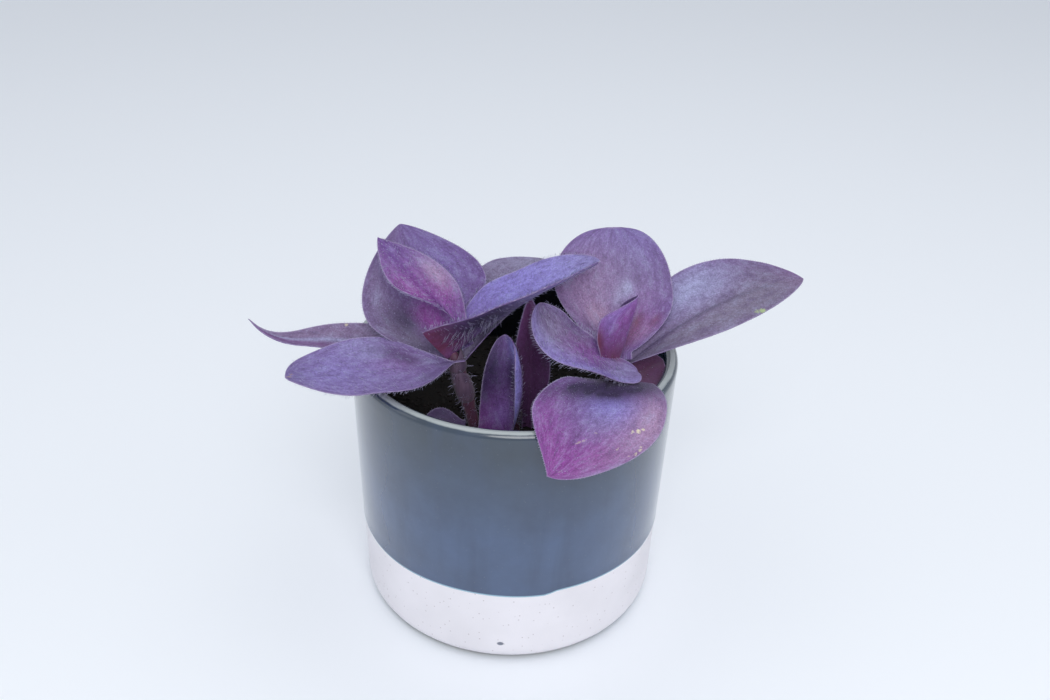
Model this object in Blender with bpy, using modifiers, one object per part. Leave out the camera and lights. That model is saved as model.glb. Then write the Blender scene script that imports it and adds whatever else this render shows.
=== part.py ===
"""Potted tradescantia: a purple trailing houseplant in a two-tone stoneware pot.

Units are metres, +Z is up, and the origin is the centre of the pot's base. -Y is the front.
The pot, the soil, each stem and each leaf is one object.
"""

import math

import bmesh
import bpy
from mathutils import Vector

MM = 0.001

# Pot: a turned body with a straight, slightly tapered wall.
POT_HEIGHT = 86.5 * MM
POT_RIM_RADIUS = 50.0 * MM
POT_LOW_RADIUS = 48.0 * MM
POT_WALL = 4.0 * MM
POT_FLOOR = 5.5 * MM
FOOT_ROUNDING = 6.0 * MM
INNER_ROUNDING = 7.0 * MM
TURN_STEPS = 48
ARC_STEPS = 4

# Soil: fills the pot to well below the rim.
SOIL_TOP = 66.0 * MM
SOIL_EDGE_DROP = 1.5 * MM
SOIL_LEVEL_SHARE = 0.9
FIT_GAP = 0.35 * MM

# Stems: the hole that each one is planted in.
SOCKET_LENGTH = 20.0 * MM
SOCKET_CLEARANCE = 0.7 * MM
SOCKET_SIDES = 16

# Leaves: thin blades.
LEAF_THICKNESS = 0.9 * MM
LEAF_ROWS = 12
LEAF_COLUMNS = 6
LEAF_MIN_HALF_WIDTH = 0.4 * MM
MIDRIB_ROUNDING = 0.02

POT_COLOUR = (0.105, 0.135, 0.175)
SOIL_COLOUR = (0.012, 0.010, 0.009)
STEM_COLOUR = (0.120, 0.050, 0.085)
LEAF_COLOUR = (0.150, 0.075, 0.230)

# Stems: points in millimetres from the bottom of the planted end to the top.
STEMS = {
    "stem_left": {
        "radius": 2.5,
        "route": ((-10.5, -13.0, 56.0), (-11.5, -15.0, 66.0), (-14.5, -16.5, 80.0), (-18.0, -16.5, 93.5)),
    },
    "stem_right": {
        "radius": 2.5,
        "route": ((24.0, -12.0, 56.0), (25.0, -13.0, 66.0), (27.0, -14.5, 78.0), (30.0, -17.5, 92.0)),
    },
    "stem_middle": {
        "radius": 2.0,
        "route": ((1.5, -14.5, 56.0), (1.0, -15.5, 66.0), (0.5, -16.0, 72.0), (0.0, -16.5, 78.0)),
    },
}

# Leaves, in millimetres and degrees. A leaf runs from base to tip along a midrib that is pushed
# aside by bow at its middle and by curl at its tip. Its upper side faces "face". Each half rises
# by fold from the midrib; left and right scale the two halves, seen from above, base to tip.
LEAVES = {
    "leaf_left_slender": {
        "base": (-20.4, -14.2, 88.5), "tip": (-80.0, -4.0, 85.0), "bow": (0.0, 0.0, 2.5),
        "curl": (0.0, 0.0, 9.0), "face": (0.0, -0.3, 1.0), "width": 14.0, "fold": 22.0,
        "widest": 0.34, "sharpness": 1.4, "base_width": (0.30, 0.30),
    },
    "leaf_left_oval": {
        "base": (-17.0, -20.0, 91.5), "tip": (-63.0, -33.0, 92.0), "bow": (0.0, -0.5, 0.0),
        "face": (0.0, -0.15, 1.0), "width": 25.0, "fold": 5.0,
        "widest": 0.50, "sharpness": 0.62, "base_width": (0.30, 0.03),
    },
    "leaf_left_back": {
        "base": (-19.6, -13.5, 91.5), "tip": (-35.5, 11.0, 120.0), "bow": (-1.0, 2.0, -2.0),
        "face": (0.1, -0.8, 0.6), "width": 37.0, "fold": 12.0,
        "widest": 0.42, "sharpness": 0.78, "base_width": (0.40, 0.20), "left": 1.02, "right": 1.06,
    },
    "leaf_left_boat": {
        "base": (-15.5, -17.6, 100.0), "tip": (-40.0, -5.0, 122.5), "bow": (6.0, 0.0, 6.0),
        "face": (-0.5, 0.3, -0.2), "width": 27.0, "fold": 50.0,
        "widest": 0.62, "sharpness": 0.60, "base_width": (0.15, 0.15),
    },
    "leaf_left_strap": {
        "base": (-23.0, -17.4, 93.0), "tip": (24.0, -6.0, 118.0), "bow": (0.0, 0.0, 1.0),
        "face": (0.0, 0.1, 1.0), "width": 26.0, "fold": 45.0, "fold_tip": 35.0,
        "widest": 0.40, "sharpness": 0.80, "base_width": (1.05, 0.50), "left": 0.90,
    },
    "leaf_middle_back": {
        "base": (-14.1, -16.0, 90.5), "tip": (14.0, 33.0, 99.0), "bow": (3.0, -4.0, 9.0),
        "face": (0.0, -0.2, 1.0), "width": 24.0, "fold": 10.0,
        "widest": 0.60, "sharpness": 0.70, "base_width": (0.10, 0.20), "left": 0.95, "right": 0.30,
    },
    "leaf_right_round": {
        "base": (30.0, -14.4, 92.8), "tip": (28.0, 9.0, 122.0), "bow": (0.0, 1.5, -1.5),
        "face": (0.0, -0.8, 0.6), "width": 36.0, "fold": 8.0,
        "widest": 0.45, "sharpness": 0.42, "base_width": (0.35, 0.35), "right": 1.02,
    },
    "leaf_right_young": {
        "base": (29.8, -18.0, 92.8), "tip": (34.5, -15.0, 112.0),
        "face": (-0.3, -1.0, 0.2), "width": 12.0, "fold": 45.0,
        "widest": 0.45, "sharpness": 0.80, "base_width": (0.50, 0.50),
    },
    "leaf_right_wavy": {
        "base": (31.8, -21.6, 91.4), "tip": (7.0, -12.0, 107.0), "bow": (0.0, -5.0, -1.0),
        "face": (0.0, -0.4, 1.0), "width": 18.0, "fold": 5.0,
        "widest": 0.60, "sharpness": 0.45, "base_width": (0.60, 0.10), "right": 0.80,
    },
    "leaf_front_heart": {
        "base": (28.3, -20.2, 86.5), "tip": (10.0, -60.0, 81.2), "bow": (2.5, 0.0, 7.0),
        "face": (0.0, -0.3, 1.0), "width": 36.0, "fold": 5.0,
        "widest": 0.50, "sharpness": 0.52, "base_width": (0.20, 0.20), "right": 0.88,
    },
    "leaf_right_long": {
        "base": (32.6, -15.4, 89.2), "tip": (88.0, 12.0, 106.0), "bow": (0.0, 0.0, 6.5),
        "face": (0.0, -0.5, 1.0), "width": 22.0, "fold": 10.0,
        "widest": 0.50, "sharpness": 0.90, "base_width": (0.25, 0.25), "left": 1.15, "right": 0.90,
    },
    "leaf_right_inner": {
        "base": (32.3, -15.6, 85.6), "tip": (44.0, -8.6, 84.8),
        "face": (0.0, -0.5, 1.0), "width": 11.0, "fold": 10.0,
        "widest": 0.45, "sharpness": 0.80, "base_width": (0.30, 0.30),
    },
    "leaf_middle_folded": {
        "base": (-1.0, -19.5, 67.5), "tip": (-4.0, -18.0, 101.0), "bow": (0.5, -0.8, 0.0),
        "face": (-0.5, -1.0, 0.0), "width": 17.0, "fold": 30.0,
        "widest": 0.35, "sharpness": 0.80, "base_width": (0.60, 0.60),
    },
    "leaf_middle_rolled": {
        "base": (4.6, -15.0, 67.5), "tip": (5.5, -14.0, 100.0), "bow": (0.5, 0.5, 0.0),
        "face": (0.0, -1.0, 0.0), "width": 8.0, "fold": 30.0,
        "widest": 0.45, "sharpness": 0.80, "base_width": (0.30, 0.30), "left": 0.9,
    },
    "leaf_low_left": {
        "base": (-15.3, -16.8, 69.2), "tip": (-27.0, -20.0, 70.0), "bow": (0.0, 0.0, 1.0),
        "face": (0.0, -0.3, 1.0), "width": 10.0, "fold": 10.0,
        "widest": 0.45, "sharpness": 0.80, "base_width": (0.30, 0.30),
    },
}


def clear_scene():
    for old in list(bpy.data.objects):
        bpy.data.objects.remove(old, do_unlink=True)


def new_collection(name):
    collection = bpy.data.collections.new(name)
    bpy.context.scene.collection.children.link(collection)
    return collection


def make_material(name, colour, roughness):
    material = bpy.data.materials.new(name)
    material.use_nodes = True
    shader = material.node_tree.nodes["Principled BSDF"]
    shader.inputs["Base Color"].default_value = (*colour, 1.0)
    shader.inputs["Roughness"].default_value = roughness
    shader.inputs["Metallic"].default_value = 0.0
    return material


def add_object(name, data, collection, material):
    made = bpy.data.objects.new(name, data)
    data.materials.append(material)
    collection.objects.link(made)
    return made


def arc(centre, radius, start, end, steps=ARC_STEPS):
    """Points (x, z) on an arc, by angles in degrees from +X towards +Z."""
    points = []
    for step in range(steps + 1):
        angle = math.radians(start + (end - start) * step / steps)
        points.append((centre[0] + radius * math.cos(angle), centre[1] + radius * math.sin(angle)))
    return points


def outer_radius(height):
    """The pot's outside radius at a height, on its straight tapered wall."""
    share = (height - FOOT_ROUNDING) / (POT_HEIGHT - FOOT_ROUNDING)
    return POT_LOW_RADIUS + (POT_RIM_RADIUS - POT_LOW_RADIUS) * share


def inner_radius(height):
    return outer_radius(height) - POT_WALL


def turned(name, profile, collection, material):
    """A solid turned about Z from (x, z) points that start and end on the axis."""
    mesh = bpy.data.meshes.new(name)
    edges = [(index, index + 1) for index in range(len(profile) - 1)]
    mesh.from_pydata([(x, 0.0, z) for x, z in profile], edges, [])
    made = add_object(name, mesh, collection, material)
    screw = made.modifiers.new("turn", "SCREW")
    screw.axis = "Z"
    screw.steps = TURN_STEPS
    screw.render_steps = TURN_STEPS
    screw.use_merge_vertices = True
    screw.merge_threshold = 0.00001
    screw.use_smooth_shade = True
    return made


def make_pot(collection, material):
    """Floor, inner wall, rounded rim, outer wall, rounded foot and flat base, in that order."""
    lip = POT_WALL / 2
    floor_corner = (inner_radius(POT_FLOOR) - INNER_ROUNDING, POT_FLOOR + INNER_ROUNDING)
    foot_corner = (POT_LOW_RADIUS - FOOT_ROUNDING, FOOT_ROUNDING)
    profile = [(0.0, POT_FLOOR)]
    profile += arc(floor_corner, INNER_ROUNDING, -90.0, 0.0)
    profile += arc((POT_RIM_RADIUS - lip, POT_HEIGHT - lip), lip, 180.0, 0.0)
    profile += arc(foot_corner, FOOT_ROUNDING, 0.0, -90.0)
    profile.append((0.0, 0.0))
    return turned("pot", profile, collection, material)


def make_soil(collection, material):
    """The potting mix: the pot's inside, less the fitting gap, with a slightly fallen edge."""
    floor = POT_FLOOR + FIT_GAP
    rounding = INNER_ROUNDING
    corner = (inner_radius(POT_FLOOR) - INNER_ROUNDING - FIT_GAP, floor + rounding)
    edge_height = SOIL_TOP - SOIL_EDGE_DROP
    edge = inner_radius(edge_height) - FIT_GAP
    profile = [(0.0, SOIL_TOP), (edge * SOIL_LEVEL_SHARE, SOIL_TOP), (edge, edge_height)]
    profile += arc(corner, rounding, 0.0, -90.0)
    profile.append((0.0, floor))
    return turned("soil", profile, collection, material)


def make_stem(name, route, radius, collection, material):
    """A round stem along a smooth curve through its points."""
    curve = bpy.data.curves.new(name, "CURVE")
    curve.dimensions = "3D"
    curve.bevel_depth = radius * MM
    curve.bevel_resolution = 2
    curve.resolution_u = 4
    curve.use_fill_caps = True
    spline = curve.splines.new("BEZIER")
    spline.bezier_points.add(len(route) - 1)
    for point, place in zip(spline.bezier_points, route):
        point.co = Vector(place) * MM
        point.handle_left_type = "AUTO"
        point.handle_right_type = "AUTO"
    return add_object(name, curve, collection, material)


def make_socket(name, route, radius, collection):
    """The hole that a planted stem fills, as a cutter along the stem's lowest stretch."""
    bottom = Vector(route[0]) * MM
    along = (Vector(route[1]) * MM - bottom).normalized()
    start = bottom - along * FIT_GAP
    width = radius * MM + SOCKET_CLEARANCE
    cutter = bpy.data.meshes.new(name)
    shape = bmesh.new()
    bmesh.ops.create_cone(
        shape, cap_ends=True, segments=SOCKET_SIDES, depth=SOCKET_LENGTH,
        radius1=width, radius2=width,
    )
    shape.to_mesh(cutter)
    shape.free()
    made = bpy.data.objects.new(name, cutter)
    made.rotation_mode = "QUATERNION"
    made.rotation_quaternion = along.to_track_quat("Z", "Y")
    made.location = start + along * SOCKET_LENGTH / 2
    made.hide_render = True
    made.display_type = "WIRE"
    collection.objects.link(made)
    return made


def cut(target, cutter):
    hole = target.modifiers.new("hole_" + cutter.name, "BOOLEAN")
    hole.operation = "DIFFERENCE"
    hole.solver = "EXACT"
    hole.object = cutter


def midrib_point(leaf, t):
    """A point on the midrib, t from 0 at the base to 1 at the tip."""
    base = Vector(leaf["base"])
    tip = Vector(leaf["tip"])
    middle = (base + tip) / 2 + Vector(leaf.get("bow", (0, 0, 0))) * 2
    curl = Vector(leaf.get("curl", (0, 0, 0)))
    return base * (1 - t) ** 2 + middle * 2 * t * (1 - t) + tip * t ** 2 + curl * t ** 6


def half_width(leaf, t, base_share):
    """The leaf's half width: a rise from the base to the widest place, and a rounded tip."""
    widest = leaf["widest"]
    if t < widest:
        share = base_share + (1 - base_share) * math.sin(math.pi / 2 * t / widest) ** 1.2
    else:
        reach = (t - widest) / (1 - widest)
        share = max(math.cos(math.pi / 2 * reach), 0.0) ** leaf["sharpness"]
    return max(share * leaf["width"] / 2, LEAF_MIN_HALF_WIDTH / MM)


def leaf_point(leaf, t, u):
    """A point on the leaf's upper side, u from -1 at the left margin to 1 at the right one."""
    step = 0.01
    along = (midrib_point(leaf, t + step) - midrib_point(leaf, t - step)).normalized()
    face = Vector(leaf["face"]).normalized()
    up = (face - along * face.dot(along)).normalized()
    side = along.cross(up)
    fold = math.radians(leaf["fold"] + (leaf.get("fold_tip", leaf["fold"]) - leaf["fold"]) * t)
    base_share = leaf["base_width"][0 if u < 0 else 1]
    scale = leaf.get("left", 1.0) if u < 0 else leaf.get("right", 1.0)
    reach = half_width(leaf, t, base_share) * scale
    soft = math.sqrt(u * u + MIDRIB_ROUNDING) - math.sqrt(MIDRIB_ROUNDING)
    offset = side * u * reach * math.cos(fold) + up * soft * reach * math.sin(fold)
    return (midrib_point(leaf, t) + offset) * MM


def make_leaf(name, leaf, collection, material):
    """A thin curved blade: a grid bent to the leaf's shape, thickened on its underside."""
    mesh = bpy.data.meshes.new(name)
    blade = bmesh.new()
    bmesh.ops.create_grid(blade, x_segments=LEAF_COLUMNS, y_segments=LEAF_ROWS, size=1.0)
    for vert in blade.verts:
        t = math.sin(math.pi / 2 * (vert.co.y + 1) / 2)
        vert.co = leaf_point(leaf, t, vert.co.x)
    blade.to_mesh(mesh)
    blade.free()
    mesh.shade_smooth()
    made = add_object(name, mesh, collection, material)
    shell = made.modifiers.new("thickness", "SOLIDIFY")
    shell.thickness = LEAF_THICKNESS
    shell.offset = -1.0
    return made


def main():
    clear_scene()
    plant = new_collection("potted_tradescantia")
    cutters = new_collection("cutters")
    clay = make_material("glazed_stoneware", POT_COLOUR, 0.25)
    mix = make_material("potting_mix", SOIL_COLOUR, 0.95)
    stalk = make_material("stem_skin", STEM_COLOUR, 0.55)
    blade = make_material("leaf_skin", LEAF_COLOUR, 0.50)
    make_pot(plant, clay)
    soil = make_soil(plant, mix)
    for name, stem in STEMS.items():
        make_stem(name, stem["route"], stem["radius"], plant, stalk)
        cut(soil, make_socket("socket_" + name, stem["route"], stem["radius"], cutters))
    for name, leaf in LEAVES.items():
        make_leaf(name, leaf, plant, blade)


main()
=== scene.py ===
"""Looks of a potted tradescantia: a hairy purple trailing plant in a two-tone stoneware pot.

Lengths in the tables are millimetres and are turned to metres by MM. +Z is up and -Y is the front.
"""

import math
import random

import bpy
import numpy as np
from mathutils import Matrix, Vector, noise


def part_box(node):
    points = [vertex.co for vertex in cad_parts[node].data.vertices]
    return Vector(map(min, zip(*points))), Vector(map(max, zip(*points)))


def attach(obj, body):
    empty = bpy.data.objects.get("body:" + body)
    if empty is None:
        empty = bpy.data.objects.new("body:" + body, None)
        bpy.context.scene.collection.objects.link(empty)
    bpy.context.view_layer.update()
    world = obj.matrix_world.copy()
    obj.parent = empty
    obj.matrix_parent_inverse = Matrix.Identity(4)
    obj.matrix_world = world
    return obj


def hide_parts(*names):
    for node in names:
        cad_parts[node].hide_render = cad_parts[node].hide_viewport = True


bl_info = {
    "name": "Potted Tradescantia",
    "version": (1, 0, 0),
    "blender": (4, 5, 0),
    "location": "View3D > Sidebar > Tradescantia",
    "description": "Builds a purple tradescantia in a half-glazed stoneware pot",
    "category": "Add Mesh",
}

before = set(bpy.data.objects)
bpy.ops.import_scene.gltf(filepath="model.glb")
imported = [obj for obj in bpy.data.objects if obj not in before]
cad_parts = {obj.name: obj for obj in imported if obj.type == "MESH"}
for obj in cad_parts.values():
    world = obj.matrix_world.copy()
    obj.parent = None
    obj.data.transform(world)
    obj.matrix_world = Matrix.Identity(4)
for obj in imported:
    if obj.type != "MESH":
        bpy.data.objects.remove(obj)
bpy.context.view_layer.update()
_, POT_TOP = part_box("pot")
_, SOIL_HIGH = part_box("soil")

MM = 0.001
POT_HEIGHT = POT_TOP.z / MM
POT_RIM_RADIUS = POT_TOP.x / MM
SOIL_LEVEL = SOIL_HIGH.z / MM

# Pot: the turned profile's own sizes, the rings in the bare clay and up each side of the wall.
POT_LOW_RADIUS = 48.0
POT_WALL = 4.0
POT_FLOOR = 5.5
FOOT_ROUNDING = 6.0
INNER_ROUNDING = 7.0
POT_SIDES = 160
CLAY_RINGS = (9.0, 13.0, 17.0, 21.0, 24.5)
WALL_RINGS = 14
# The glaze is this thick. Its edge is a roll: shares of the thickness outwards, and heights.
GLAZE_BODY = 0.25
GLAZE_ROLL = ((-0.35, 0.0), (0.25, 0.30), (0.30, 0.75), (0.0, 1.6))
# The glaze edge climbs on the front right, between angles in radians, and ripples: height, waves
# round the pot and phase. Both fade over a distance from the edge.
GLAZE_CLIMB = 1.15
CLIMB_STARTS = (-1.34, -1.23)
CLIMB_ENDS = (0.2, 1.4)
GLAZE_RIPPLES = ((0.22, 3, 0.8), (0.12, 7, 2.0))
GLAZE_EDGE_FADE = (2.0, 14.0)
# Marks the inner wall as far from the glaze's edge.
INSIDE = 100.0
# How far the pale crest, thin glaze with a painted highlight, reaches down from the rim.
CREST_OUTSIDE = 0.75
CREST_INSIDE = 0.12
# Painted shade on the inner wall: its share, how much of it is lifted on the unshaded side (an angle in
# radians), and where it fades below the rim.
INNER_SHADE_SHARE = 0.92
INNER_SHADE_LIFTED = 0.77
UNSHADED_SIDE = 0.0
INNER_SHADE_FADE = (2.2, 0.4)
# One large iron speck in the clay, and the share of speck cells that stay empty.
BIG_SPECK_SIZE = (1.1, 2.0, 0.75)
BIG_SPECK_HEIGHT = 8.2
BIG_SPECK_ANGLE = math.radians(-91.5)
BIG_SPECK_PLACE = (
    POT_LOW_RADIUS * MM * math.cos(BIG_SPECK_ANGLE),
    POT_LOW_RADIUS * MM * math.sin(BIG_SPECK_ANGLE),
    BIG_SPECK_HEIGHT * MM,
)
SPECK_RARITY = 0.55

# Soil: it falls away by SOIL_FALL in the outer part of its radius, and lies a share of its relief
# below its level.
SOIL_SIDES = 150
SOIL_RINGS = 26
SOIL_DEPTH = 8.0
SOIL_CLEARANCE = 0.15
SOIL_FALL = 1.5
SOIL_FALL_FROM = 0.80
SOIL_SINK = 0.35
# Crumbs: shape of the model for all, sizes, stretches, how uneven and tilted they are in radians,
# and the share of its size that a crumb stands up.
CRUMB_COUNT = 1100
CRUMB_SHAPE = (1.0, 0.75, 0.6)
CRUMB_SIZES = (0.7, 0.9, 1.2, 1.6)
CRUMB_STRETCHES = (1.0, 1.0, 1.3, 2.2)
CRUMB_UNEVENNESS = 0.22
CRUMB_TILT = 0.6
CRUMB_LIFT = 0.12
CRUMBS_FROM_WALL = 2.0

# Leaves.
LEAF_ROWS = 60
LEAF_COLUMNS = 34
LEAF_MARGIN_SHARE = 0.40
MIDRIB_ROUNDING = 0.02
MIDRIB_GROOVE = 0.30
MIDRIB_GROOVE_WIDTH = 0.9
# Dents all over a leaf: their size and their depth.
DENTS = ((11.0, 0.45), (5.0, 0.15))
# Patterns in the leaf skin: millimetres across, along and up, detail, roughness, distortion.
LEAF_PATTERNS = {
    "veins": (1.0, 20.0, 1.0, 3.0, 0.6, 0.1),
    "patches": (3.2, 6.5, 1.0, 4.0, 0.65, 0.1),
    "mottle": (1.3, 2.0, 1.0, 5.0, 0.70, 0.1),
    "felt": (0.25, 0.8, 1.0, 2.0, 0.6, 0.1),
}
# Mottling: pattern, where in it the colour starts and is full, how much at most, colour.
LEAF_MOTTLING = (
    ("mottle", 0.50, 0.28, 0.32, "deep"),
    ("mottle", 0.50, 0.72, 0.30, "bloom"),
    ("patches", 0.50, 0.72, 0.40, "bloom"),
    ("patches", 0.48, 0.28, 0.32, "deep"),
)
# How much a pattern darkens and lightens the leaf.
LEAF_SHADING = {"veins": 0.04, "felt": 0.15, "grain": 0.22}
# Colours painted on the leaves, below and above the mottling, and how far patches break them up.
# Painted shade is mostly in the darkest of these colours, and in part in the grey. A painted highlight is
# in part in the bloom and the rose.
FLUSHES = ("ash", "magenta", "bloom", "blue", "rose")
SHADES = ("maroon", "deep")
WASH_BREAK = 1.4
# How far, in millimetres, the outline of a scar is torn.
SCAR_TEAR = 2.4

# Hairs: the shares of a leaf between which its fringe stands, how much shorter that is at the tip,
# the shares of the fringe's length that other hairs have, and the way the beard hangs.
FRINGE_FROM = 0.01
FRINGE_TO = 0.985
FRINGE_SHORTENING = 0.45
HAIR_SHARES = (0.35, 0.7)
BEARD_WAY = Vector((-0.35, -0.2, -0.9))
HAIR_TAPER = 0.7
STEM_HAIR_FINENESS = 0.6
STEM_HAIR_LENGTHS = (0.9, 3.2)

STEM_RIB_LENGTH = 1000 / 60
SHEATH_WALL = 0.22

# Edges sharper than this, in radians, stay sharp.
SHARP_EDGE = math.radians(50.0)
SHARP_LEAF_EDGE = math.radians(60.0)

# Refraction of plant skin, and of glaze and clay.
PLANT_IOR = 1.42
POTTERY_IOR = 1.5
# Inputs that grade a value: its range, and the range it becomes.
GRADE = ("From Min", "From Max", "To Min", "To Max")

# Lights: place and width in metres, and the setting for the power. They point at LIT_PLACE.
LIGHTS = {
    "overhead": ((0.10, 0.15, 0.95), 0.9, "key_power"),
    "front": ((0.06, -0.62, 0.62), 0.5, "front_power"),
    "left": ((-0.95, -0.15, 0.45), 0.6, "fill_power"),
    "right": ((0.95, -0.05, 0.45), 0.6, "fill_power"),
}
LIT_PLACE = (0.0, 0.0, 0.06)
SKY_COLOUR = "#eef3fb"
# Camera: place in metres, tilt up from straight down and lean to the side in degrees.
CAMERA_PLACE = (0.0032, -0.2801, 0.2459)
CAMERA_TILT = 60.0
CAMERA_LEAN = 1.97
FOCAL_LENGTH = 36.0
SENSOR_WIDTH = 36.0
FLOOR_SIZE = 6.0

# Stems: points from the bottom of the planted end to the top, the sheaths around the stem as
# (low, high) shares of its length, and how many hairs stand on it.
STEMS = {
    "stem_left": {
        "radius": 2.5, "hairs": 220, "sheaths": ((0.56, 0.82), (0.8, 0.95)),
        "route": ((-10.5, -13, 56), (-11.5, -15, 66), (-14.5, -16.5, 80), (-18, -16.5, 93.5)),
    },
    "stem_right": {
        "radius": 2.5, "hairs": 220, "sheaths": ((0.34, 0.6), (0.58, 0.86)),
        "route": ((24, -12, 56), (25, -13, 66), (27, -14.5, 78), (30, -17.5, 92)),
    },
    "stem_middle": {
        "radius": 2, "hairs": 160, "sheaths": ((0.5, 0.78),),
        "route": ((1.5, -14.5, 56), (1, -15.5, 66), (0.5, -16, 72), (0, -16.5, 78)),
    },
}
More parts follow.
